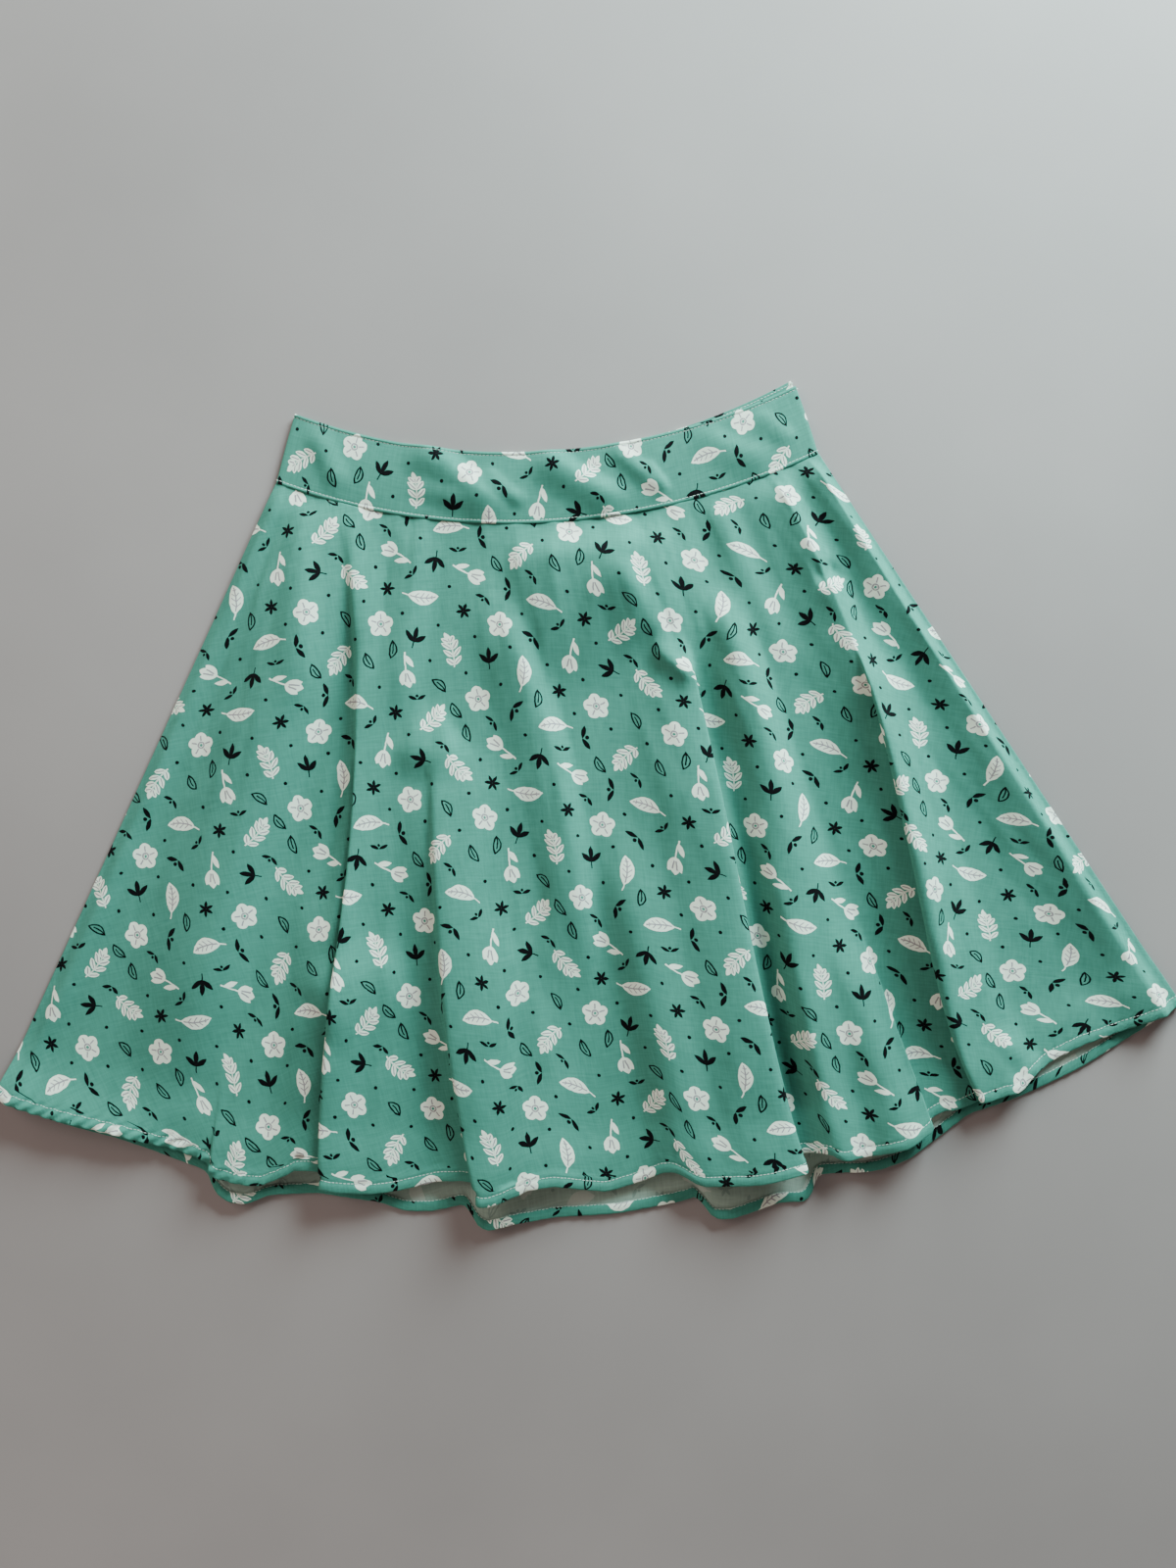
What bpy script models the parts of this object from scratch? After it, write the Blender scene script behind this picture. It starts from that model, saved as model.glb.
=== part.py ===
"""A circle skirt laid flat on a surface, front up, waistband at +Y and hem at -Y.

The skirt is a half circle: its front and its back are each a quarter of a ring, sewn to a curved
waistband.  Laid flat, a panel spreads as a fan about one point, the apex, where its two side lines
would meet.  That fan is narrower than the panel's cut, so the rest of the hem lies in folds.

A place on a panel has two shares.  `across` runs from its left side, 0, to its right side, 1, seen
from above.  `down` runs from the waist seam, 0, to the hem, 1.  Lengths are in metres, +Z is up,
and z = 0 is the surface that the skirt lies on.
"""

import math
from typing import NamedTuple

import bpy
import numpy as np

NAME = "circle_skirt"

# The fan that the laid skirt makes
APEX_X = -0.0614
APEX_Y = 0.6181
LEFT_SIDE = math.radians(-24.45)      # angles from straight down the front
RIGHT_SIDE = math.radians(33.35)
SEAM_RADIUS = 0.4061                  # apex to the middle of the waist seam
SEAM_MIDDLE = 0.42                    # where, across, the seam lies nearest the apex
SEAM_DROP_LEFT = 0.0380               # how fast the seam falls away towards each side
SEAM_DROP_RIGHT = 0.0515
HEM_RADIUS = 0.9114                   # apex to the mean hem line

# Cloth
WALL = 0.0012                         # a panel
BAND_WALL = 0.0018                    # the waistband: two cloths and its interfacing
TURNING_WALL = 0.0008                 # the turned-up part of a hem
GAP = 0.0003                          # between pieces that touch
EASE = 0.0003                         # more room between the panels, away from their edges
HEM_WIDTH = 0.0065
BAND_HEIGHT = 0.0525
BAND_SPREAD_LEFT = 0.024              # shares by which the band's top is wider than the fan
BAND_SPREAD_RIGHT = 0.036
PEEK = 0.0048                         # how far the back band shows above the front one
PEEK_FROM = 0.865
SWELL = 0.0045                        # how far the front stands up below the waistband's middle
EDGE_ROLL = 0.022                     # share of the width in which a panel rises from its side

# Mesh density
PANEL_ROWS = (0.0, 0.02, 0.06, 0.10, 0.15, 0.20, 0.25, 0.30, 0.36, 0.42, 0.49,
              0.56, 0.64, 0.72, 0.80, 0.88, 0.95)
BACK_ROWS = (0.0, 0.15, 0.30, 0.45, 0.55, 0.65, 0.74, 0.82, 0.89, 0.95)
FLAT_COLUMNS = (7, 2, 4, 9, 3, 0, 8)   # before, between and after the folds
BACK_COLUMNS = 68
BAND_COLUMNS = 40
BAND_ROWS = 6
FOLD_KNOTS = (0.0, 1 / 3, 2 / 3, 1.0)  # the shares down at which a fold's places are given
NO_FOLD = -1


class Fold(NamedTuple):
    """A fold in the front: one side of it rises and laps over the other."""

    name: str
    over: int            # 1 where the right side lies on top, -1 where the left side does
    across: tuple        # its visible edge, at FOLD_KNOTS down
    start: float         # share down where it begins
    rise_top: float      # height just past its start
    rise_hem: float
    tuck_top: float      # 0 is flat, 1 stands upright, above 1 the cloth doubles under itself
    tuck_hem: float
    half_width: float    # share of the width, on each side of its middle, that it takes up
    reach: float         # share of the width in which the raised side sinks again
    columns: int


class Ridge(NamedTuple):
    """A soft wave that rises on both sides alike."""

    name: str
    across: tuple        # its crest, at FOLD_KNOTS down
    start: float
    height_top: float
    height_hem: float
    width: float         # share of the width from crest to foot


class Step(NamedTuple):
    """A step across the back panel's hem: its right side lies higher or lower than its left."""

    name: str
    across: float
    start: float
    rise: float
    reach: float


FOLDS = (
    # name, over, across at the knots, start, rise top and hem, tuck top and hem, half, reach, columns
    Fold("left_small", 1, (0.080, 0.120, 0.155, 0.182), 0.62,
         0.0020, 0.0050, 0.5, 1.00, 0.020, 0.050, 9),
    Fold("left", 1, (0.150, 0.224, 0.252, 0.268), 0.03,
         0.0045, 0.0140, 0.9, 2.00, 0.030, 0.075, 13),
    Fold("left_middle", 1, (0.270, 0.309, 0.357, 0.394), 0.33,
         0.0060, 0.0150, 0.8, 2.10, 0.030, 0.120, 13),
    Fold("right_middle", -1, (0.680, 0.686, 0.676, 0.671), 0.18,
         0.0070, 0.0150, 1.0, 2.10, 0.030, 0.080, 13),
    Fold("right_small", -1, (0.770, 0.773, 0.775, 0.774), 0.80,
         0.0030, 0.0070, 0.6, 1.20, 0.016, 0.050, 9),
    Fold("right", 1, (0.893, 0.888, 0.843, 0.811), 0.01,
         0.0090, 0.0150, 0.9, 2.10, 0.025, 0.070, 13),
)

RIDGES = (
    #     name            across                        start  height top,hem  width
    Ridge("left_edge",    (0.040, 0.038, 0.036, 0.036), 0.05, 0.0030, 0.0040, 0.045),
    Ridge("left_crest",   (0.125, 0.158, 0.178, 0.203), 0.08, 0.0035, 0.0065, 0.062),
    Ridge("centre",       (0.330, 0.497, 0.512, 0.525), 0.04, 0.0050, 0.0085, 0.045),
    Ridge("right_crest",  (0.830, 0.785, 0.757, 0.740), 0.12, 0.0035, 0.0070, 0.052),
    Ridge("right_side",   (0.930, 0.932, 0.925, 0.920), 0.20, 0.0030, 0.0060, 0.042),
)

STEPS = (
    #    name          across  start  rise    reach
    Step("left",       0.186, 0.50, 0.0040, 0.060),
    Step("middle",     0.398, 0.50, 0.0040, 0.070),
    Step("right",      0.584, 0.50, 0.0035, 0.060),
    Step("far_right",  0.705, 0.55, 0.0030, 0.050),
)

# How far the hem lies beyond (+) or short of (-) its mean line
FRONT_HEM = (
    # across  beyond
    (0.000, 0.0085), (0.035, 0.0080), (0.063, 0.0045), (0.102, 0.0005), (0.150, -0.0020),
    (0.170, -0.0025), (0.190, 0.0065), (0.205, 0.0080), (0.224, 0.0065), (0.244, -0.0055),
    (0.255, -0.0140), (0.284, -0.0020), (0.300, 0.0000), (0.316, -0.0015), (0.335, -0.0050),
    (0.354, -0.0100), (0.381, -0.0170), (0.412, 0.0005), (0.424, 0.0012), (0.438, -0.0105),
    (0.463, -0.0120), (0.505, -0.0035), (0.537, -0.0095), (0.553, -0.0145), (0.564, -0.0142),
    (0.582, -0.0015), (0.625, 0.0035), (0.652, 0.0040), (0.684, -0.0105), (0.697, 0.0025),
    (0.728, 0.0070), (0.752, 0.0075), (0.768, 0.0035), (0.786, -0.0070), (0.800, -0.0028),
    (0.824, -0.0050), (0.850, 0.0015), (0.866, -0.0045), (0.888, -0.0075), (0.915, -0.0070),
    (0.950, -0.0020), (0.982, 0.0030), (1.000, 0.0050),
)
BACK_HEM = (
    # across  beyond
    (0.000, 0.0086), (0.050, 0.0058), (0.100, 0.0018), (0.130, 0.0022), (0.164, 0.0046),
    (0.180, 0.0061), (0.188, 0.0174), (0.201, 0.0242), (0.217, 0.0230), (0.231, 0.0136),
    (0.271, 0.0057), (0.321, 0.0070), (0.342, 0.0119), (0.364, 0.0105), (0.391, 0.0034),
    (0.400, 0.0179), (0.407, 0.0229), (0.429, 0.0177), (0.462, 0.0139), (0.514, 0.0142),
    (0.567, 0.0105), (0.579, 0.0079), (0.586, 0.0255), (0.600, 0.0289), (0.641, 0.0248),
    (0.664, 0.0293), (0.676, 0.0110), (0.705, 0.0168), (0.725, 0.0201), (0.750, 0.0199),
    (0.807, 0.0038), (0.847, 0.0072), (0.908, 0.0080), (0.947, 0.0059), (1.000, 0.0052),
)


def smooth(share):
    """Ease from 0 to 1 with no slope at either end."""
    share = np.clip(share, 0.0, 1.0)
    return share * share * (3.0 - 2.0 * share)


def at_depth(places, down):
    """Return the place, at one share down, of a line given at FOLD_KNOTS."""
    return np.polyval(np.polyfit(FOLD_KNOTS, places, 3), down)


def grown(start, at_top, at_hem, down):
    """Return a size that is 0 at its start, soon at_top, and at_hem by the hem."""
    if down <= start:
        return 0.0
    run = (down - start) / (1.0 - start)
    return smooth((down - start) / 0.10) * (at_top + (at_hem - at_top) * run)


def edge_fade(across):
    """Return 0 at a panel's two sides and 1 away from them."""
    return smooth(np.minimum(across, 1.0 - across) / EDGE_ROLL)


def seam_radius(across):
    """Return the distance from the apex to the waist seam."""
    aside = across - SEAM_MIDDLE
    fall = np.where(aside > 0.0, SEAM_DROP_RIGHT, SEAM_DROP_LEFT)
    return SEAM_RADIUS + fall * aside * aside


def hem_beyond(table, across):
    """Return how far the hem lies beyond its mean line, with the table's corners softened."""
    places, beyond = zip(*table)
    around = [np.interp(across + shift, places, beyond) for shift in (-0.004, 0.0, 0.004)]
    return sum(around) / len(around)


def panel_radius(table, across, nominal, down, end):
    """Return the distance from the apex at a share down, where `end` metres are the hem's edge."""
    seam = seam_radius(across) + GAP / 2.0
    length = HEM_RADIUS - seam
    return seam + length * down + hem_beyond(table, nominal) * down ** 3 - end


def place(across, radius, height):
    """Turn shares across, distances from the apex and heights into points."""
    angle = LEFT_SIDE + (RIGHT_SIDE - LEFT_SIDE) * across
    x = APEX_X + radius * np.sin(angle)
    y = APEX_Y - radius * np.cos(angle)
    return np.stack([x, y, height + np.zeros_like(x)], axis=-1)


def back_lift(across, down):
    """Return how far the back panel is lifted off the surface."""
    lift = np.zeros_like(across)
    for step in STEPS:
        rise = grown(step.start, 0.0, step.rise, down)
        aside = across - step.across
        up = smooth(aside / 0.012 + 0.5)
        sink = 1.0 - smooth((aside - 0.012) / step.reach)
        lift = lift + rise * up * sink
    return lift * edge_fade(across)


def over_back(across, down):
    """Return the height of the front panel's middle where it lies straight on the back panel."""
    highest = back_lift(across, down)
    for shift in (-0.008, 0.008):
        highest = np.maximum(highest, back_lift(np.clip(across + shift, 0.0, 1.0), down))
    turnings = smooth((down - 0.93) / 0.03) * 2.0 * (TURNING_WALL + GAP)
    return highest + WALL + GAP + WALL / 2.0 + turnings + EASE * edge_fade(across)


class FoldRow(NamedTuple):
    """One fold as it is at one share down."""

    fold: Fold
    middle: float
    tuck: float
    rise: float


def fold_row(fold, down):
    """Work out one fold at one share down."""
    tuck = grown(fold.start, fold.tuck_top, fold.tuck_hem, down)
    rise = grown(fold.start, fold.rise_top, fold.rise_hem, down)
    turn = turning_point(tuck)
    lap = tuck / math.pi * math.sin(math.pi * turn) - turn
    middle = at_depth(fold.across, down) + fold.over * lap * fold.half_width
    return FoldRow(fold, middle, tuck, rise)


def turning_point(tuck):
    """Return where, from -1 to 1 through a fold, the cloth turns back: 0 while it doesn't."""
    if tuck <= 1.0:
        return 0.0
    return math.acos(1.0 / tuck) / math.pi


def through_fold(row):
    """Return the shares across, the unfolded shares and the heights through one fold."""
    fold = row.fold
    run = np.linspace(-1.0, 1.0, fold.columns)
    nominal = row.middle + fold.half_width * run
    sway = row.tuck / math.pi * np.sin(math.pi * run)
    across = row.middle + fold.half_width * (run - sway)
    turn = turning_point(row.tuck)
    spread = 0.26 if turn > 0.0 else 0.45
    first = smooth((run * fold.over + turn) / (2.0 * spread) + 0.5)
    second = smooth((run * fold.over - turn) / (2.0 * spread) + 0.5)
    return across, nominal, row.rise * (first + second) / 2.0


def beside_fold(row, across):
    """Return the height that a fold gives to the cloth beyond it, on its raised side."""
    fold = row.fold
    aside = (across - row.middle) * fold.over
    sink = 1.0 - smooth((aside - fold.half_width) / fold.reach)
    return np.where(aside > 0.0, row.rise * sink, 0.0)


def ridge_height(across, down):
    """Return the height of the soft waves, and of the swell just below the waistband."""
    along = smooth((across - 0.28) / 0.15) * smooth((0.80 - across) / 0.15)
    height = SWELL * along * smooth(down / 0.09) * (1.0 - smooth((down - 0.11) / 0.18))
    for ridge in RIDGES:
        crest = at_depth(ridge.across, down)
        tall = grown(ridge.start, ridge.height_top, ridge.height_hem, down)
        height = height + tall * (1.0 - smooth(np.abs(across - crest) / ridge.width))
    return height


def flat_stretch(low, high, count):
    """Return `count` even places strictly between two folds, or between a fold and a side."""
    places = np.linspace(low, high, count + 2)[1:-1]
    return NO_FOLD, places, places, np.zeros(count)


def side_point(across):
    """Return the single place on a panel's side."""
    place_there = np.array([across])
    return NO_FOLD, place_there, place_there, np.zeros(1)


def front_row(down, end=0.0):
    """Return one row of points of the front panel, side to side."""
    rows = [fold_row(fold, down) for fold in FOLDS]
    stretches = [side_point(0.0)]
    low = 0.0
    for index, row in enumerate(rows):
        begin = row.middle - row.fold.half_width
        stretches.append(flat_stretch(low, begin, FLAT_COLUMNS[index]))
        stretches.append((index, *through_fold(row)))
        low = row.middle + row.fold.half_width
    stretches.append(flat_stretch(low, 1.0, FLAT_COLUMNS[-1]))
    stretches.append(side_point(1.0))
    points = []
    for own, across, nominal, height in stretches:
        for index, row in enumerate(rows):
            if index != own:
                height = height + beside_fold(row, across)
        height = (height + ridge_height(across, down)) * edge_fade(across)
        radius = panel_radius(FRONT_HEM, across, nominal, down, end)
        points.append(place(across, radius, over_back(across, down) + height))
    return np.concatenate(points)


def back_row(down, end=0.0):
    """Return one row of points of the back panel, side to side."""
    across = np.linspace(0.0, 1.0, BACK_COLUMNS)
    radius = panel_radius(BACK_HEM, across, across, down, end)
    return place(across, radius, WALL / 2.0 + back_lift(across, down))


def panel_grid(row, rows):
    """Return a panel's rows of points, ending with the two that bound its turned-up hem."""
    grid = [row(down) for down in rows]
    grid.append(row(1.0, HEM_WIDTH))
    grid.append(row(1.0))
    return np.array(grid)


def unit(vectors):
    """Return vectors made one long."""
    return vectors / np.linalg.norm(vectors, axis=-1, keepdims=True)


def turning_grid(grid, side):
    """Return the turned-up hem's points: the panel's own last rows, moved to its inner side."""
    top, edge = grid[-2:]
    steps = np.array([unit(np.diff(row, axis=0)) for row in (top, edge)])
    before = np.concatenate([steps[:, :1], steps], axis=1)
    after = np.concatenate([steps, steps[:, -1:]], axis=1)
    normals = unit(np.cross(unit(edge - top), before + after))
    offset = side * (WALL / 2.0 + GAP + TURNING_WALL / 2.0)
    return grid[-2:] + offset * normals


def band_grid(front):
    """Return the points of the front or back waistband, from its top edge to the waist seam."""
    run = np.linspace(0.0, 1.0, BAND_COLUMNS)
    grid = []
    for share in np.linspace(0.0, 1.0, BAND_ROWS):
        up = 1.0 - share
        across = run * (1.0 + up * BAND_SPREAD_RIGHT) - (1.0 - run) * up * BAND_SPREAD_LEFT
        radius = seam_radius(across) - GAP / 2.0 - (BAND_HEIGHT - GAP / 2.0) * up
        height = BAND_WALL / 2.0
        if front:
            swell = smooth(np.minimum(run, 1.0 - run) / 0.06) * (1.0 - (2.0 * share - 1.0) ** 2)
            ripple = 0.5 + 0.5 * np.sin(2.0 * math.pi * (4.3 * run + 0.55 * share + 0.1))
            height = height + BAND_WALL + GAP + swell * (0.0006 + 0.0016 * ripple)
        else:
            peek = smooth((run - PEEK_FROM) / 0.09) * smooth((1.0 - run) / 0.045)
            radius = radius - PEEK * peek * up
        grid.append(place(across, radius, height))
    return np.array(grid)


def cloth_material(name, colour):
    """Make a matte cloth material."""
    material = bpy.data.materials.new(name)
    material.use_nodes = True
    shader = material.node_tree.nodes["Principled BSDF"]
    shader.inputs["Base Color"].default_value = (*colour, 1.0)
    shader.inputs["Roughness"].default_value = 0.85
    shader.inputs["Metallic"].default_value = 0.0
    return material


def cloth_piece(name, grid, wall, colour, collection):
    """Make a piece of cloth: a surface through a grid of points, thickened on both sides."""
    rows, columns = grid.shape[:2]
    faces = []
    for row in range(rows - 1):
        for column in range(columns - 1):
            corner = row * columns + column
            faces.append((corner, corner + columns, corner + columns + 1, corner + 1))
    mesh = bpy.data.meshes.new(name)
    mesh.from_pydata(grid.reshape(-1, 3).tolist(), [], faces)
    mesh.materials.append(cloth_material(name, colour))
    mesh.shade_smooth()
    piece = bpy.data.objects.new(name, mesh)
    collection.objects.link(piece)
    solidify = piece.modifiers.new("wall", "SOLIDIFY")
    solidify.thickness = wall
    solidify.offset = 0.0
    return piece


def clear_scene():
    """Remove whatever the file opens with."""
    for item in list(bpy.data.objects):
        bpy.data.objects.remove(item, do_unlink=True)


def main():
    """Build the skirt's six pieces."""
    clear_scene()
    collection = bpy.data.collections.new(NAME)
    bpy.context.scene.collection.children.link(collection)
    front = panel_grid(front_row, PANEL_ROWS)
    back = panel_grid(back_row, BACK_ROWS)
    teal = (0.115, 0.455, 0.352)
    pale = (0.235, 0.430, 0.360)
    cloth_piece("skirt_front", front, WALL, teal, collection)
    cloth_piece("skirt_back", back, WALL, pale, collection)
    cloth_piece("hem_front", turning_grid(front, -1), TURNING_WALL, teal, collection)
    cloth_piece("hem_back", turning_grid(back, 1), TURNING_WALL, teal, collection)
    cloth_piece("waistband_front", band_grid(True), BAND_WALL, teal, collection)
    cloth_piece("waistband_back", band_grid(False), BAND_WALL, pale, collection)


main()
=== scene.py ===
"""Looks of a half-circle skirt in printed cotton, laid flat with its front up.

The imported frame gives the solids.  Each of its six pieces of cloth is replaced by a thin shell on the
same form, with finer folds, a print on its own cut, turned hems and sewn stitches.

A place on a panel has two shares.  `across` runs from its left side, 0, to its right side, 1, seen
from above.  `down` runs from the waist seam, 0, to the hem, 1.  Lengths are in metres, +Z is up, and
the skirt lies on z = 0 with its waistband at +Y.
"""

import functools
import logging
import math
import operator
from dataclasses import dataclass, field
from enum import Enum

import bpy
import numpy as np
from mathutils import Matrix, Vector


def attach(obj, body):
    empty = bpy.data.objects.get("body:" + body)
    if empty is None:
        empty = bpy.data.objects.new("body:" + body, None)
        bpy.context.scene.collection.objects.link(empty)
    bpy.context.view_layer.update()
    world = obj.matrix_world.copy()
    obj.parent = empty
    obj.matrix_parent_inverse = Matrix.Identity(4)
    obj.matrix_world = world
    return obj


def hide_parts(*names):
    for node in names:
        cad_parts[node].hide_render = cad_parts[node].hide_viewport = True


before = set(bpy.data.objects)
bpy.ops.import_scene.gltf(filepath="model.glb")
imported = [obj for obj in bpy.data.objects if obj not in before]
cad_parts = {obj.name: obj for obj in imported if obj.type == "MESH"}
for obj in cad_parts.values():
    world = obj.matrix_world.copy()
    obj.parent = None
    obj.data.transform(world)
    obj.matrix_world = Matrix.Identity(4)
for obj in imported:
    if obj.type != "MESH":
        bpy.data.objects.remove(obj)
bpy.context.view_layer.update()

LOG = logging.getLogger("skirt")
Colour = tuple[float, float, float]
Finish = bpy.types.Material
Socket = bpy.types.NodeSocket
OUTER_SLOT = "printed_cotton"
INNER_SLOT = "cotton_inner_face"
CUT_MAP = "cut"                    # the UV map that holds each point's place on the flat cut
TOP_STITCH = 0.0020                # the band's two lines of stitches, below its top edge
SEAM_STITCH = 0.0506
THREAD = 0.00027                   # the radius of the sewing thread
ONSET = 0.10                       # the share down over which a fold or a ridge begins


# ---- The laid skirt's lines ----


def smooth(share: np.ndarray | float) -> np.ndarray:
    """Ease from 0 to 1 with no slope at either end.

    Args:
        share: where along the ease, and held between 0 and 1.

    Returns:
        The eased share.
    """
    share = np.clip(share, 0.0, 1.0)
    return share * share * (3.0 - 2.0 * share)


def fading(share: np.ndarray | float) -> np.ndarray:
    """Ease from 1 to 0 with no slope at either end."""
    return 1.0 - smooth(share)


def from_ends(share: np.ndarray) -> np.ndarray:
    """Return how far a share is from the nearer of 0 and 1."""
    return np.minimum(share, 1.0 - share)


def hump(place: float, middle: float, width: float) -> float:
    """Return 1 at the middle of a smooth hump, and less the further a place lies from it."""
    return math.exp(-(((place - middle) / width) ** 2))


def unit(vectors: np.ndarray) -> np.ndarray:
    """Return vectors made one long."""
    return vectors / np.maximum(np.linalg.norm(vectors, axis=-1, keepdims=True), 1e-12)


def along(points: np.ndarray) -> np.ndarray:
    """Return the running length of a row of points."""
    return np.concatenate([[0.0], np.cumsum(np.linalg.norm(np.diff(points, axis=0), axis=1))])


@dataclass(frozen=True)
class Fan:
    """The fan that a laid panel makes about its apex, where its side lines would meet."""

    apex: tuple[float, float] = (-0.0614, 0.6181)
    left_side: float = math.radians(-24.45)
    right_side: float = math.radians(33.35)
    seam_radius: float = 0.4061
    seam_middle: float = 0.42
    seam_drop_left: float = 0.0380
    seam_drop_right: float = 0.0515
    hem_radius: float = 0.9114
    gap: float = 0.0003
    edge_roll: float = 0.022
    hem_blur: float = 0.004                # how far a hem's corners are rounded, in shares across

    def place(self, across: np.ndarray, radius: np.ndarray, height: np.ndarray) -> np.ndarray:
        """Turn places on the fan into points.

        Args:
            across: shares across.
            radius: distances from the apex.
            height: heights above the surface.

        Returns:
            The points, in the last axis.
        """
        angle = self.left_side + (self.right_side - self.left_side) * across
        x = self.apex[0] + radius * np.sin(angle)
        y = self.apex[1] - radius * np.cos(angle)
        return np.stack([x, y, height + np.zeros_like(x)], axis=-1)

    def seam(self, across: np.ndarray) -> np.ndarray:
        """Return the distance from the apex to the waist seam.

        Args:
            across: shares across.

        Returns:
            The distances.
        """
        aside = across - self.seam_middle
        fall = np.where(aside > 0.0, self.seam_drop_right, self.seam_drop_left)
        return self.seam_radius + fall * aside * aside

    def edge_fade(self, across: np.ndarray) -> np.ndarray:
        """Return 0 at a panel's two sides and 1 away from them."""
        return smooth(from_ends(across) / self.edge_roll)

    def panel_radius(
        self, table: tuple, across: np.ndarray, nominal: np.ndarray, down: float, end: float
    ) -> np.ndarray:
        """Work out how far from the apex a row of a panel lies.

        Args:
            table: the hem's places across and how far beyond its mean line it lies there.
            across: shares across.
            nominal: the same shares before any folding, which the hem's table goes by.
            down: the row's share down.
            end: how far above the hem's edge the row lies.

        Returns:
            The distances from the apex.
        """
        places, beyond = zip(*table)
        shifts = (-self.hem_blur, 0.0, self.hem_blur)
        around = [np.interp(nominal + shift, places, beyond) for shift in shifts]
        seam = self.seam(across) + self.gap / 2.0
        return seam + (self.hem_radius - seam) * down + np.mean(around, axis=0) * down**3 - end


FAN = Fan()
KNOTS = (0.0, 1 / 3, 2 / 3, 1.0)   # the shares down at which a fold's or a ridge's places are given

FRONT_HEM = (
    # across  beyond
    (0.000, 0.0038), (0.035, 0.0027), (0.063, -0.0003), (0.102, -0.0035), (0.150, -0.0045),
    (0.170, -0.0035), (0.190, 0.0065), (0.205, 0.0080), (0.224, 0.0065), (0.244, -0.0055),
    (0.255, -0.0140), (0.284, -0.0020), (0.300, 0.0000), (0.316, -0.0015), (0.335, -0.0050),
    (0.354, -0.0100), (0.381, -0.0170), (0.412, 0.0005), (0.424, 0.0012), (0.438, -0.0105),
    (0.463, -0.0120), (0.505, -0.0035), (0.537, -0.0095), (0.553, -0.0145), (0.564, -0.0142),
    (0.582, -0.0015), (0.625, 0.0035), (0.652, 0.0040), (0.684, -0.0105), (0.697, 0.0025),
    (0.728, 0.0070), (0.752, 0.0075), (0.768, 0.0035), (0.786, -0.0070), (0.800, -0.0028),
    (0.824, -0.0050), (0.850, 0.0015), (0.866, -0.0045), (0.888, -0.0075), (0.915, -0.0070),
    (0.950, -0.0020), (0.982, 0.0030), (1.000, 0.0050),
)
BACK_HEM = (
    # across  beyond
    (0.000, 0.0086), (0.050, 0.0058), (0.100, 0.0018), (0.130, 0.0022), (0.164, 0.0046),
    (0.180, 0.0061), (0.188, 0.0174), (0.201, 0.0242), (0.217, 0.0230), (0.231, 0.0136),
    (0.271, 0.0057), (0.321, 0.0070), (0.342, 0.0119), (0.364, 0.0105), (0.391, 0.0034),
    (0.400, 0.0179), (0.407, 0.0229), (0.429, 0.0177), (0.462, 0.0139), (0.514, 0.0142),
    (0.567, 0.0105), (0.579, 0.0079), (0.586, 0.0255), (0.600, 0.0289), (0.641, 0.0248),
    (0.664, 0.0293), (0.676, 0.0110), (0.705, 0.0168), (0.725, 0.0201), (0.750, 0.0199),
    (0.807, 0.0038), (0.847, 0.0072), (0.908, 0.0080), (0.947, 0.0059), (1.000, 0.0052),
)


def at_depth(places: tuple, down: float) -> float:
    """Return the place, at one share down, of a line given at KNOTS."""
    return float(np.polyval(np.polyfit(KNOTS, places, 3), down))


def grown(start: float, at_top: float, at_hem: float, down: float) -> float:
    """Size something that begins part of the way down.

    Args:
        start: the share down where it is still 0.
        at_top: its size soon after its start.
        at_hem: its size at the hem.
        down: the share down that is asked for.

    Returns:
        Its size there.
    """
    if down <= start:
        return 0.0
    run = (down - start) / (1.0 - start)
    return float(smooth((down - start) / ONSET)) * (at_top + (at_hem - at_top) * run)


class Over(Enum):
    """Which side of a fold lies on top."""

    RIGHT = 1
    LEFT = -1


@dataclass(frozen=True)
class Fold:
    """A fold in the front: one side of it rises and laps over the other."""

    over: Over
    across: tuple[float, float, float, float]
    start: float
    rise: tuple[float, float]          # soon after its start, and at the hem
    tuck: tuple[float, float]          # 1 stands upright, above 1 the cloth doubles under itself
    half_width: float
    reach: float
    columns: int = 23
    open_spread: float = 0.45          # how much of the fold it takes to rise
    lapped_spread: float = 0.26        # the same where the cloth doubles under itself

    def turning_point(self, tuck: float) -> float:
        """Return where, from 0 to 1 through half the fold, the cloth turns back."""
        return 0.0 if tuck <= 1.0 else math.acos(1.0 / tuck) / math.pi

    def state(self, down: float) -> tuple[float, float, float]:
        """Work out the fold at one share down.

        Args:
            down: the share down.

        Returns:
            Its middle, its tuck and its rise.
        """
        tuck = grown(self.start, *self.tuck, down)
        turn = self.turning_point(tuck)
        lap = tuck / math.pi * math.sin(math.pi * turn) - turn
        middle = at_depth(self.across, down) + self.over.value * lap * self.half_width
        return middle, tuck, grown(self.start, *self.rise, down)

    def through(self, down: float) -> tuple[np.ndarray, np.ndarray, np.ndarray]:
        """Follow the cloth through the fold.

        Args:
            down: the share down.

        Returns:
            The shares across, the shares before folding, and the heights.
        """
        middle, tuck, rise = self.state(down)
        run = np.linspace(-1.0, 1.0, self.columns)
        sway = tuck / math.pi * np.sin(math.pi * run)
        across = middle + self.half_width * (run - sway)
        turn = self.turning_point(tuck)
        spread = self.lapped_spread if turn > 0.0 else self.open_spread
        shifts = (turn, -turn)
        first, second = (smooth((run * self.over.value + by) / (2.0 * spread) + 0.5) for by in shifts)
        return across, middle + self.half_width * run, rise * (first + second) / 2.0

    def beside(self, down: float, across: np.ndarray) -> np.ndarray:
        """Return the height that the fold gives to the cloth beyond it, on its raised side.

        Args:
            down: the share down.
            across: shares across.

        Returns:
            The heights.
        """
        middle, _tuck, rise = self.state(down)
        aside = (across - middle) * self.over.value
        return np.where(aside > 0.0, rise * fading((aside - self.half_width) / self.reach), 0.0)


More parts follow.
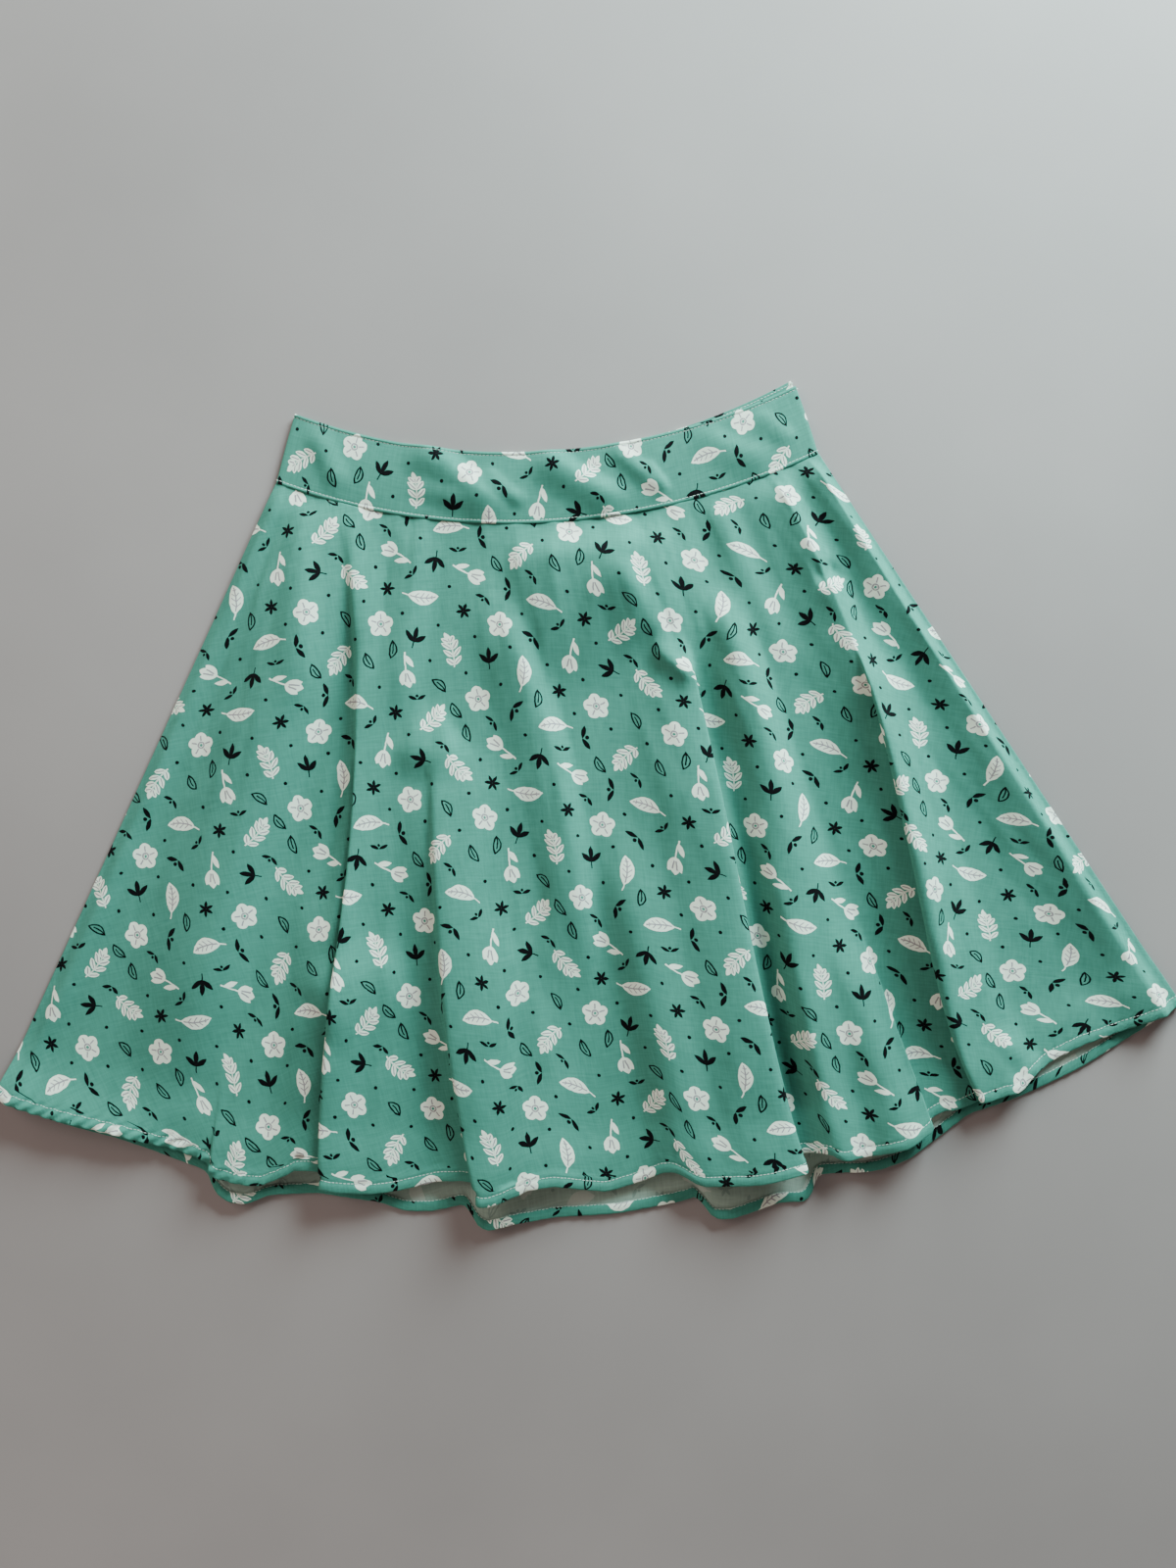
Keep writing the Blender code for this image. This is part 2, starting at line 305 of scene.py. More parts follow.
@dataclass(frozen=True)
class Ridge:
    """A soft wave that runs down the front and rises on both sides alike."""

    across: tuple[float, float, float, float]
    start: float
    height: tuple[float, float]
    width: float

    def height_at(self, across: np.ndarray, down: float) -> np.ndarray:
        """Return how high it lifts the cloth.

        Args:
            across: shares across.
            down: the share down.

        Returns:
            The heights.
        """
        tall = grown(self.start, *self.height, down)
        away = np.abs(across - at_depth(self.across, down))
        return tall * fading(away / self.width)


@dataclass(frozen=True)
class Step:
    """A step across the back panel's hem, with its right side higher than its left."""

    across: float
    start: float
    rise: float
    reach: float
    width: float = 0.012                   # of its own slope

    def height_at(self, across: np.ndarray, down: float) -> np.ndarray:
        """Return how high it lifts the cloth.

        Args:
            across: shares across.
            down: the share down.

        Returns:
            The heights.
        """
        aside = across - self.across
        sink = fading((aside - self.width) / self.reach)
        return grown(self.start, 0.0, self.rise, down) * smooth(aside / self.width + 0.5) * sink


class Edge(Enum):
    """How round the top of a crease is, from 0 to 1."""

    SOFT = 1.0
    KEEN = 0.5
    CRISP = 0.0


@dataclass(frozen=True)
class Crease:
    """A ridge, or a trough where its rise is below 0, along a given line."""

    rise: float
    left: float                              # its width on the left of its line, going down
    right: float
    path: tuple[tuple[float, float], ...]    # across, down
    edge: Edge = Edge.SOFT
    taper: float = 0.30                      # the share of its length over which each end fades out
    samples: int = 28

    def line(self) -> np.ndarray:
        """Return the crease's line in plan, as points on a smooth curve.

        Returns:
            The points, as rows of x and y.
        """
        knots = np.array(self.path)
        run = along(knots)
        degree = min(3, len(knots) - 1)
        want = np.linspace(0.0, run[-1], self.samples)
        across, down = (np.polyval(np.polyfit(run, values, degree), want) for values in knots.T)
        seam = FAN.seam(across)
        return FAN.place(across, seam + (FAN.hem_radius - seam) * down, across * 0.0)[:, :2]

    def height_at(self, points: np.ndarray) -> np.ndarray:
        """Work out how far the crease moves the cloth.

        Args:
            points: places in plan, as rows of x and y.

        Returns:
            The height to add at each.
        """
        line = self.line()
        reach = max(self.left, self.right)
        height = np.zeros(len(points))
        low, high = line.min(axis=0) - reach, line.max(axis=0) + reach
        near = np.flatnonzero(np.all((points > low) & (points < high), axis=1))
        if not len(near):
            return height
        spots = points[near]
        best = np.full(len(near), np.inf)
        side, passed = np.zeros((2, len(near)))
        for index, (start, end) in enumerate(zip(line[:-1], line[1:])):
            step = end - start
            offset = spots - start
            share = np.clip(offset @ step / (step @ step), 0.0, 1.0)
            away = offset - share[:, None] * step
            distance = np.hypot(*away.T)
            closer = distance < best
            best = np.where(closer, distance, best)
            turn = step[0] * offset[:, 1] - step[1] * offset[:, 0]
            side = np.where(closer, np.sign(turn), side)
            passed = np.where(closer, (index + share) / (len(line) - 1), passed)
        width = np.where(side > 0.0, self.right, self.left)
        share = np.clip(best / width, 0.0, 1.0)
        shape = fading(share) * self.edge.value + (1.0 - share) ** 2 * (1.0 - self.edge.value)
        height[near] = self.rise * shape * smooth(from_ends(passed) / self.taper)
        return height


FOLDS = (
    Fold(Over.RIGHT, (0.080, 0.120, 0.155, 0.182), 0.82, (0.0010, 0.0036), (0.4, 0.90), 0.020, 0.050),
    Fold(Over.RIGHT, (0.126, 0.230, 0.256, 0.273), 0.03, (0.0016, 0.0100), (0.5, 1.85), 0.028, 0.075),
    Fold(Over.RIGHT, (0.282, 0.326, 0.358, 0.400), 0.31, (0.0040, 0.0095), (0.5, 1.25), 0.034, 0.100),
    Fold(Over.LEFT, (0.688, 0.682, 0.669, 0.668), 0.18, (0.0070, 0.0150), (1.0, 2.10), 0.030, 0.110),
    Fold(Over.LEFT, (0.774, 0.775, 0.776, 0.775), 0.66, (0.0030, 0.0070), (0.6, 1.20), 0.012, 0.050),
    Fold(Over.RIGHT, (0.904, 0.890, 0.838, 0.817), 0.27, (0.0066, 0.0125), (1.5, 2.30), 0.018, 0.048),
)
RIDGES = (
    Ridge((0.764, 0.748, 0.744, 0.747), 0.12, (0.0080, 0.0105), 0.040),
)
STEPS = (
    Step(0.186, 0.50, 0.0040, 0.060),
    Step(0.398, 0.50, 0.0040, 0.070),
    Step(0.584, 0.50, 0.0035, 0.060),
    Step(0.705, 0.55, 0.0030, 0.050),
)
FRONT_CREASES = {
    # name: rise, width on its left, on its right, path of (across, down), edge
    "hip crest": Crease(0.0086, 0.040, 0.020, (
        (0.335, 0.03), (0.402, 0.15), (0.464, 0.25), (0.484, 0.35), (0.492, 0.50), (0.500, 0.76))),
    "middle crest": Crease(0.0078, 0.028, 0.034, (
        (0.536, 0.40), (0.550, 0.50), (0.558, 0.64), (0.566, 0.80), (0.584, 1.06))),
    "hollow rim": Crease(0.0040, 0.034, 0.014, (
        (0.560, 0.055), (0.606, 0.085), (0.632, 0.125), (0.640, 0.165), (0.646, 0.230))),
    "pinch": Crease(0.0064, 0.016, 0.024, ((0.634, 0.196), (0.654, 0.226), (0.688, 0.272)), Edge.CRISP),
    "break": Crease(0.0056, 0.060, 0.032, ((0.232, 0.742), (0.262, 0.706), (0.290, 0.684), (0.330, 0.650))),
    "left wave": Crease(0.0140, 0.066, 0.044, (
        (0.120, -0.10), (0.123, 0.30), (0.130, 0.66), (0.140, 1.04))),
    "left top": Crease(0.0036, 0.028, 0.018, (
        (0.036, -0.03), (0.074, 0.06), (0.104, 0.14), (0.140, 0.24), (0.158, 0.36))),
    "first edge": Crease(0.0050, 0.012, 0.022, (
        (0.114, -0.04), (0.166, 0.07), (0.205, 0.16), (0.226, 0.28), (0.240, 0.46), (0.256, 0.70))),
    "first flank": Crease(0.0105, 0.050, 0.034, (
        (0.238, 0.48), (0.252, 0.64), (0.262, 0.80), (0.276, 1.14))),
    "second top": Crease(0.0052, 0.026, 0.022, (
        (0.266, -0.04), (0.270, 0.08), (0.276, 0.20), (0.288, 0.33))),
    "second knuckle": Crease(0.0056, 0.028, 0.042, (
        (0.276, 0.330), (0.300, 0.338), (0.332, 0.340), (0.372, 0.322))),
    "second flank": Crease(0.0095, 0.034, 0.052, (
        (0.314, 0.25), (0.338, 0.42), (0.354, 0.56), (0.374, 0.72), (0.413, 1.12))),
    "third roll": Crease(0.0060, 0.050, 0.018, (
        (0.672, 0.16), (0.668, 0.40), (0.660, 0.70), (0.652, 1.20))),
    "third hollow": Crease(0.0060, 0.017, 0.026, (
        (0.716, 0.36), (0.710, 0.62), (0.700, 0.90), (0.697, 1.24))),
    "third bank": Crease(0.0075, 0.026, 0.040, (
        (0.734, 0.00), (0.731, 0.20), (0.730, 0.36), (0.716, 0.56), (0.703, 0.74), (0.700, 1.24))),
    "third foot": Crease(0.0045, 0.020, 0.036, (
        (0.704, 0.46), (0.698, 0.66), (0.695, 0.90), (0.695, 1.30))),
    "right top": Crease(0.0040, 0.020, 0.018, (
        (0.796, -0.06), (0.800, 0.06), (0.808, 0.18), (0.812, 0.34))),
    "fourth edge": Crease(0.0130, 0.046, 0.022, (
        (0.890, -0.18), (0.908, 0.12), (0.892, 0.34), (0.864, 0.52), (0.838, 0.74), (0.812, 1.10),
    ), Edge.KEEN),
    "notch": Crease(-0.0044, 0.013, 0.012, ((0.886, 0.176), (0.910, 0.176), (0.936, 0.168))),
    "left seam": Crease(0.0040, 0.010, 0.014, (
        (0.014, -0.30), (0.014, 0.20), (0.014, 0.70), (0.014, 1.30))),
    "right seam high": Crease(0.0088, 0.027, 0.010, (
        (0.980, -0.25), (0.980, 0.05), (0.981, 0.35), (0.982, 0.60)), Edge.KEEN),
    "right seam low": Crease(0.0120, 0.048, 0.012, (
        (0.981, 0.30), (0.982, 0.65), (0.983, 1.00), (0.983, 1.40)), Edge.KEEN),
    "left curl": Crease(0.0124, 0.036, 0.036, ((-0.060, 1.00), (0.060, 1.01), (0.160, 1.00))),
    "hem pull": Crease(0.0030, 0.012, 0.016, ((0.846, 0.90), (0.862, 0.95), (0.872, 1.01))),
    "hem dent": Crease(-0.0014, 0.014, 0.014, ((0.893, 0.90), (0.898, 0.96), (0.900, 1.02))),
}
BAND_CREASES = {
    # name: rise, width on its left, on its right, path of (across, down), edge
    "pull one": Crease(0.0054, 0.026, 0.015, (
        (0.200, -0.120), (0.310, -0.075), (0.370, -0.045), (0.440, -0.010))),
    "pull two": Crease(0.0024, 0.009, 0.009, ((0.370, -0.085), (0.410, -0.055), (0.470, -0.024))),
    "pull three": Crease(0.0050, 0.024, 0.014, (
        (0.470, -0.115), (0.540, -0.075), (0.600, -0.040), (0.660, -0.010))),
    "pull four": Crease(0.0030, 0.012, 0.010, (
        (0.640, -0.115), (0.676, -0.070), (0.712, -0.030), (0.725, 0.000))),
    "pull five": Crease(0.0021, 0.008, 0.005, (
        (0.705, -0.075), (0.718, -0.045), (0.728, -0.015)), Edge.CRISP),
    "pull left": Crease(0.0026, 0.014, 0.014, ((0.015, -0.100), (0.071, -0.056), (0.122, -0.010))),
    "pull low": Crease(0.0018, 0.012, 0.012, ((0.230, -0.045), (0.290, -0.036), (0.350, -0.020))),
    "pull right": Crease(0.0023, 0.022, 0.014, ((0.810, -0.110), (0.860, -0.058), (0.935, -0.012))),
    "pull end": Crease(0.0016, 0.014, 0.010, ((0.930, -0.100), (0.960, -0.060), (0.975, -0.020))),
}


# ---- Cloth meshes ----


def placed(name: str, data: bpy.types.ID) -> bpy.types.Object:
    """Put a mesh, a lamp or a camera in the scene, as an object.

    Args:
        name: the object's name.
        data: what it shows.

    Returns:
        The object.
    """
    item = bpy.data.objects.new(name, data)
    bpy.context.scene.collection.objects.link(item)
    return item


def grid_normals(grid: np.ndarray) -> np.ndarray:
    """Return the normals of a grid of points, on its upper side as laid out."""
    return unit(np.cross(np.gradient(grid, axis=0), np.gradient(grid, axis=1)))


@dataclass
class Cloth:
    """A grid of points on a piece of cloth, with each point's place on the flat cut."""

    grid: np.ndarray                       # rows, columns, xyz
    cut: np.ndarray                        # rows, columns, uv in metres
    outside_up: bool = True

    def shell(self, name: str, wall: float, finishes: tuple[Finish, ...]) -> bpy.types.Object:
        """Make the cloth a closed shell.

        Args:
            name: the piece's name.
            wall: its thickness.
            finishes: the materials of its outer and its inner face.

        Returns:
            The new object, in the scene.
        """
        rows, columns = self.grid.shape[:2]
        corner = (np.arange(rows - 1)[:, None] * columns + np.arange(columns - 1)).reshape(-1)
        order = [corner, corner + columns, corner + columns + 1, corner + 1]
        faces = np.stack(order if self.outside_up else order[::-1], axis=1)
        mesh = bpy.data.meshes.new(name)
        mesh.from_pydata(self.grid.reshape(-1, 3).tolist(), [], faces.tolist())
        layer = mesh.uv_layers.new(name=CUT_MAP)
        layer.data.foreach_set("uv", self.cut.reshape(-1, 2)[faces.reshape(-1)].reshape(-1))
        for finish in finishes:
            mesh.materials.append(finish)
        mesh.shade_smooth()
        piece = placed(name, mesh)
        solid = piece.modifiers.new("wall", "SOLIDIFY")
        solid.thickness = wall
        solid.offset = 0.0
        solid.material_offset = len(finishes) - 1
        return piece


def rolled(edge: np.ndarray, outward: np.ndarray, toward: np.ndarray, radius: float) -> list[np.ndarray]:
    """Roll an edge through a quarter turn.

    Args:
        edge: the edge's points.
        outward: directions away from the cloth.
        toward: directions that the edge rolls to.
        radius: the roll's radius.

    Returns:
        Two more rows of points, part of the way round and at the end.
    """
    turns = (math.radians(45.0), math.radians(90.0))
    return [edge + radius * (math.sin(turn) * outward + (1.0 - math.cos(turn)) * toward) for turn in turns]


def flat_cut(grid: np.ndarray, waist_radius: float, down: np.ndarray) -> np.ndarray:
    """Unroll a laid panel onto its cut, a part of a ring.

    Args:
        grid: the panel's points.
        waist_radius: the cut's inner radius.
        down: each row's distance below the waist seam.

    Returns:
        Each point's place on the cut.
    """
    steps = np.linalg.norm(np.diff(grid, axis=1), axis=2)
    arc = np.concatenate([np.zeros((len(grid), 1)), np.cumsum(steps, axis=1)], axis=1)
    middle = grid.shape[1] // 2
    arc -= arc[:, middle : middle + 1]
    radius = (waist_radius + down)[:, None]
    return np.stack([radius * np.sin(arc / radius), -radius * np.cos(arc / radius)], axis=-1)


@dataclass(frozen=True)
class Ripple:
    """Small uneven waves, as a sum of a few long ones in set directions."""

    height: float
    length: float
    seed: int
    waves: int = 9

    def height_at(self, points: np.ndarray) -> np.ndarray:
        """Return the height at places in plan, on both sides of 0.

        Args:
            points: places in plan, with x and y in the last axis.

        Returns:
            The heights.
        """
        draw = np.random.default_rng(self.seed)
        total = np.zeros(points.shape[:-1])
        for _wave in range(self.waves):
            heading = draw.uniform(0.0, 2.0 * math.pi)
            pitch = self.length * draw.uniform(0.6, 1.7)
            swing = points[..., 0] * math.cos(heading) + points[..., 1] * math.sin(heading)
            total += np.sin(2.0 * math.pi * (swing / pitch + draw.uniform()))
        return self.height * total / math.sqrt(self.waves)


@dataclass(frozen=True)
class Roping:
    """The slanting waves of a stitched hem, and the groove that its stitches sink into."""

    stitches: float                        # above the hem's edge
    pitch: float = 0.0105
    height: float = 0.00045
    lift: float = 0.00012
    slant: float = 1.1                     # how far a wave runs along the hem for each length up
    stray: float = 1.6                     # by how many radians the waves are uneven
    stray_length: float = 0.047
    reach: float = 0.0110                  # above the hem's edge
    fade: float = 0.004
    groove: float = 0.00032
    groove_width: float = 0.0011
    bulge: float = 0.00040                 # half-way between the stitches and the edge
    bulge_width: float = 0.0022

    def height_at(self, above: float, length: np.ndarray, pull: np.ndarray) -> np.ndarray:
        """Work out how far a row near the hem is raised.

        Args:
            above: how far above the hem's edge the row lies.
            length: the running length of the hem.
            pull: how strong the roping is, along the row.

        Returns:
            The heights along the row.
        """
        place = (length - self.slant * above) / self.pitch * 2.0 * math.pi
        beat = np.sin(place + self.stray * np.sin(length / self.stray_length))
        full = self.bulge * hump(above, self.stitches / 2.0, self.bulge_width)
        sunk = self.groove * hump(above, self.stitches, self.groove_width)
        near = float(smooth((self.reach - above) / self.fade))
        return near * (pull * (self.height * beat + self.lift) + full - sunk)


@dataclass
class Panel:
    """What the front and the back panel share."""

    name: str
    hem: tuple
    outside_up: bool
    wall: float = 0.0007
    cad_wall: float = 0.0012
    turning_wall: float = 0.0008
    turning_gap: float = 0.00004           # between a panel and its turned-up hem
    gap: float = 0.0003
    length: float = 0.505                  # waist seam to hem, about
    waist_radius: float = 0.26             # of the flat cut
    roll: float = 0.0004                   # of the side edges
    roll_rows: tuple[float, float] = (0.8, 1.6)        # how far down the cut a hem's roll goes, in rolls
    turned_rows: tuple[float, float] = (-1.0, -1.5)    # how far above its edge the turning's roll goes
    hem_roll: float = 0.00038
    meeting: float = 0.0013                # the height at which the front's sides meet the back's
    last_down: float = 0.978
    seam_rows: tuple[float, ...] = (0.0024, 0.0055)
    ends: tuple[float, ...] = (0.0095, 0.0080, 0.0068, 0.0055, 0.0040, 0.0025, 0.0010, 0.0)
    roping: Roping = Roping(stitches=0.0068)

    @property
    def inner(self) -> float:
        """Where the cloth's inner face looks: -1 is down and 1 is up."""
        return -1.0 if self.outside_up else 1.0

    def unrolled(self, cloth: "Cloth") -> np.ndarray:
        """Return the panel's points without its rolled edges."""
        side = 3 if self.outside_up else 2
        return cloth.grid[:-2, side:-side]

    @property
    def stitched_row(self) -> int:
        """The row that the hem's stitches follow, counted back from the hem's edge."""
        return len(self.ends) - self.ends.index(self.roping.stitches)

    def rows(self, count: int) -> list[tuple[float, float]]:
        """List the rows of the mesh.

        Args:
            count: how many rows lie above the hem, without those close to the waist seam.

        Returns:
            Each row's share down, and how far above the hem's edge it lies.
        """
        shares = np.sort(np.append(np.linspace(0.0, self.last_down, count), self.seam_rows))
        return [(float(down), 0.0) for down in shares] + [(1.0, end) for end in self.ends]

    def back_lift(self, across: np.ndarray, down: float) -> np.ndarray:
        """Return how far the back panel is lifted off the surface."""
        return sum(step.height_at(across, down) for step in STEPS) * FAN.edge_fade(across)

    def rope(self, grid: np.ndarray, rows: list[tuple[float, float]], pull: np.ndarray) -> None:
        """Pull the hem in along its stitches, and raise slanting waves between them and its edge.

        Args:
            grid: the panel's points, which it moves.
            rows: each row's share down, and how far above the hem's edge it lies.
            pull: how strong the roping is, along the row.
        """
        length = along(grid[-1])
        for index, (down, end) in enumerate(rows):
            above = end if down == 1.0 else (1.0 - down) * self.length
            if above < self.roping.reach:
                grid[index, :, 2] += self.roping.height_at(above, length, pull)

    def closed(self, grid: np.ndarray) -> tuple[np.ndarray, np.ndarray]:
        """Roll the hem's edge and both sides towards the cloth's inner face.

        Args:
            grid: the panel's points.

        Returns:
            The points with the rolls added, and each row's distance below the waist seam.
        """
        down = np.linalg.norm(grid - grid[:1], axis=2).mean(axis=1)
        outward = unit(grid[-1] - grid[-4])
        rolls = rolled(grid[-1], outward, self.inner * grid_normals(grid)[-1], self.hem_roll)
        grid = np.concatenate([grid, np.array(rolls)])
        down = np.concatenate([down, down[-1] + self.roll * np.array(self.roll_rows)])
        level = np.array([1.0, 1.0, 0.0])
        toward = np.array([0.0, 0.0, self.inner])
        left = rolled(grid[:, 0], unit((grid[:, 0] - grid[:, 2]) * level), toward, self.roll)
        right = rolled(grid[:, -1], unit((grid[:, -1] - grid[:, -3]) * level), toward, self.roll)
        if self.outside_up:
            # The front's sides go on down until they meet the back's
            for side in (left, right):
                side.append(np.concatenate([side[-1][:, :2], np.full((len(grid), 1), self.meeting)], axis=1))
        before = np.stack(left[::-1], axis=1)
        after = np.stack(right, axis=1)
        return np.concatenate([before, grid, after], axis=1), down

    def turning(self, cloth: Cloth) -> Cloth:
        """Make the hem's turned-up part, on the inner face of the panel.

        Args:
            cloth: the laid panel.

        Returns:
            The turning's own cloth, from its stitched edge to the roll at the hem.
        """
        panel = self.unrolled(cloth)
        normals = self.inner * grid_normals(panel)
        offset = self.wall / 2.0 + self.turning_gap + self.turning_wall / 2.0
        grid = (panel + offset * normals)[-self.stitched_row:]
        rolls = rolled(grid[-1], unit(panel[-1] - panel[-4]), -normals[-1], self.hem_roll)
        grid = np.concatenate([grid, np.array(rolls)])
        ends = np.append(self.ends[-self.stitched_row:], self.roll * np.array(self.turned_rows))
        return Cloth(grid, flat_cut(grid, self.waist_radius, self.length + ends), not self.outside_up)

    def stitch_path(self, cloth: Cloth, up: bool) -> np.ndarray:
        """Return the hem's stitch line on the upper or the lower face.

        Args:
            cloth: the laid panel.
            up: whether it lies on the upper face.

        Returns:
            The line's points.
        """
        panel = self.unrolled(cloth)
        lift = self.wall / 2.0
        if up != self.outside_up:
            lift += self.turning_wall + self.turning_gap
        facing = 1.0 if up else -1.0
        return (panel + facing * lift * grid_normals(panel))[-self.stitched_row]


@dataclass
class FrontPanel(Panel):
    """The skirt's front, with its six folds and its soft waves."""

    name: str = "front_cloth"
    hem: tuple = FRONT_HEM
    outside_up: bool = True
    row_count: int = 98
    flat_columns: tuple[int, ...] = (84, 14, 22, 62, 22, 14, 56)
    ease: float = 0.0003
    softness: float = 0.0007               # how softly it sinks onto the back
    swell: float = 0.0126                  # the soft bulge below the waistband
    swell_left: tuple[float, float] = (0.37, 0.16)     # the share across where it begins, and its ease
    swell_right: tuple[float, float] = (0.76, 0.13)
    swell_end: tuple[float, float] = (0.080, 0.20)     # the same down
    swell_start: float = 0.060
    sewn_in: tuple[float, float] = (0.004, 0.045)      # how soon below the seam the creases are whole
    hem_settle: float = 0.36               # how much of its height the front loses towards the hem
    settle_from: float = 0.74
    seam_puff: float = 0.0007              # how far the cloth stands out just below the waist seam
    puff_rise: float = 0.0028
    puff_fall: tuple[float, float] = (0.006, 0.040)
    turned_from: tuple[float, float] = (0.90, 0.06)    # where the hems' turnings begin to lift it
    beyond: float = 0.06                   # the spans between the back's steps go on beyond both sides
    spans: int = 225                       # places across that they are worked out for
    bridge: int = 4                        # how many of these to each side the front bridges
    flow: tuple[float, float] = (0.70, 0.42)           # how the dimples are drawn out, around and down
    dimples: tuple[Ripple, Ripple] = (Ripple(0.00062, 0.052, 11), Ripple(0.00026, 0.019, 23, 14))
    patchiness: Ripple = Ripple(0.5, 0.110, 31)        # where the dimples are deeper
    patch_limits: tuple[float, float] = (0.15, 2.0)
    roped: float = 0.55                    # how strong the hem's roping is
    roped_left: tuple[float, float, float] = (1.35, 0.17, 0.12)    # how much more, where, and its ease
    roped_right: tuple[float, float, float] = (0.45, 0.85, 0.05)

    def over_back(self, across: np.ndarray, down: float) -> np.ndarray:
        """Return the height at which the front lies straight on the back.

        Args:
            across: shares across.
            down: the share down.

        Returns:
            The heights of the front's middle.
        """
        places = np.linspace(-self.beyond, 1.0 + self.beyond, self.spans)
        lifts = self.back_lift(np.clip(places, 0.0, 1.0), down)
        for blend in (np.max, np.mean):
            shifts = range(-self.bridge, self.bridge + 1)
            lifts = blend([np.roll(lifts, shift) for shift in shifts], axis=0)
        highest = np.interp(across, places, lifts)
        begin, ease = self.turned_from
        turnings = float(smooth((down - begin) / ease)) * 2.0 * (self.turning_wall + self.gap)
        lift = self.cad_wall + self.gap + self.cad_wall / 2.0 + turnings
        return highest + lift + self.ease * FAN.edge_fade(across)

    def waves(self, across: np.ndarray, down: float) -> np.ndarray:
        """Return the height of the soft waves and of the swell below the waistband.

        Args:
            across: shares across.
            down: the share down.

        Returns:
            The heights.
        """
        (left, left_ease), (right, right_ease) = self.swell_left, self.swell_right
        along_seam = smooth((across - left) / left_ease) * smooth((right - across) / right_ease)
        low, low_ease = self.swell_end
        fall = smooth(down / self.swell_start) * fading((down - low) / low_ease)
        return self.swell * along_seam * fall + sum(r.height_at(across, down) for r in RIDGES)

    def row(self, down: float, end: float) -> tuple[np.ndarray, np.ndarray, np.ndarray]:
        """Lay one row of the front, side to side, straight on the back.

        Args:
            down: its share down.
            end: how far above the hem's edge it lies.

        Returns:
            Its points, how high each is to be lifted, and its shares across.
        """
        none = np.zeros(1)
        stretches = [(None, none, none, none)]
        low = 0.0
        for fold, count in zip(FOLDS, self.flat_columns):
            middle = fold.state(down)[0]
            flat = np.linspace(low, middle - fold.half_width, count + 2)[1:-1]
            stretches.append((None, flat, flat, np.zeros(count)))
            stretches.append((fold, *fold.through(down)))
            low = middle + fold.half_width
        flat = np.linspace(low, 1.0, self.flat_columns[-1] + 1)[1:]
        stretches.append((None, flat, flat, np.zeros(len(flat))))
        points, lifts, places = [], [], []
        for own, across, nominal, lift in stretches:
            for fold in FOLDS:
                if fold is not own:
                    lift = lift + fold.beside(down, across)
            lifts.append((lift + self.waves(across, down)) * FAN.edge_fade(across))
            radius = FAN.panel_radius(self.hem, across, nominal, down, end)
            points.append(FAN.place(across, radius, self.over_back(across, down)))
            places.append(across)
        return np.concatenate(points), np.concatenate(lifts), np.concatenate(places)

    def crumple(self, grid: np.ndarray) -> np.ndarray:
        """Return the height of the small dimples, which are longer down the cloth than across it.

        Args:
            grid: the front's points.

        Returns:
            The heights, on both sides of 0.
        """
        aside = grid[..., 0] - FAN.apex[0]
        below = FAN.apex[1] - grid[..., 1]
        flow = np.stack([np.arctan2(aside, below), np.hypot(aside, below)], axis=-1) * np.array(self.flow)
        uneven = np.clip(1.0 + self.patchiness.height_at(flow), *self.patch_limits)
        return sum(ripple.height_at(flow) for ripple in self.dimples) * uneven

    def cloth(self) -> Cloth:
        """Lay the whole front.

        Returns:
            The laid front, with its edges rolled.
        """
        rows = self.rows(self.row_count)
        laid = [self.row(down, end) for down, end in rows]
        grid, lift, across = (np.array(part) for part in zip(*laid))
        plan = grid[..., :2].reshape(-1, 2)
        shares = np.array([down for down, _end in rows])[:, None]
        creases = sum(crease.height_at(plan) for crease in FRONT_CREASES.values()).reshape(lift.shape)
        lift += creases * smooth((shares + self.sewn_in[0]) / self.sewn_in[1])
        lift *= 1.0 - self.hem_settle * smooth((shares - self.settle_from) / (1.0 - self.settle_from))
        begin, ease = self.puff_fall
        lift += self.seam_puff * smooth(shares / self.puff_rise) * fading((shares - begin) / ease)
        fade = FAN.edge_fade(across)
        lift += self.crumple(grid) * fade
        # The front sinks softly onto the back, and never through it
        soft = self.softness * np.logaddexp(0.0, lift / self.softness)
        grid[..., 2] += fade * soft + (1.0 - fade) * np.maximum(lift, 0.0)
        self.rope(grid, rows, self.pull(across[-1]) * fade[-1])
        grid, down = self.closed(grid)
        return Cloth(grid, flat_cut(grid, self.waist_radius, down), True)

    def pull(self, across: np.ndarray) -> np.ndarray:
        """Work out how strong the hem's roping is: most at its left end, and more at its right end.

        Args:
            across: shares across.

        Returns:
            The strengths.
        """
        left, left_end, left_ease = self.roped_left
        right, right_start, right_ease = self.roped_right
        more = left * fading((across - left_end) / left_ease)
        return self.roped + more + right * smooth((across - right_start) / right_ease)


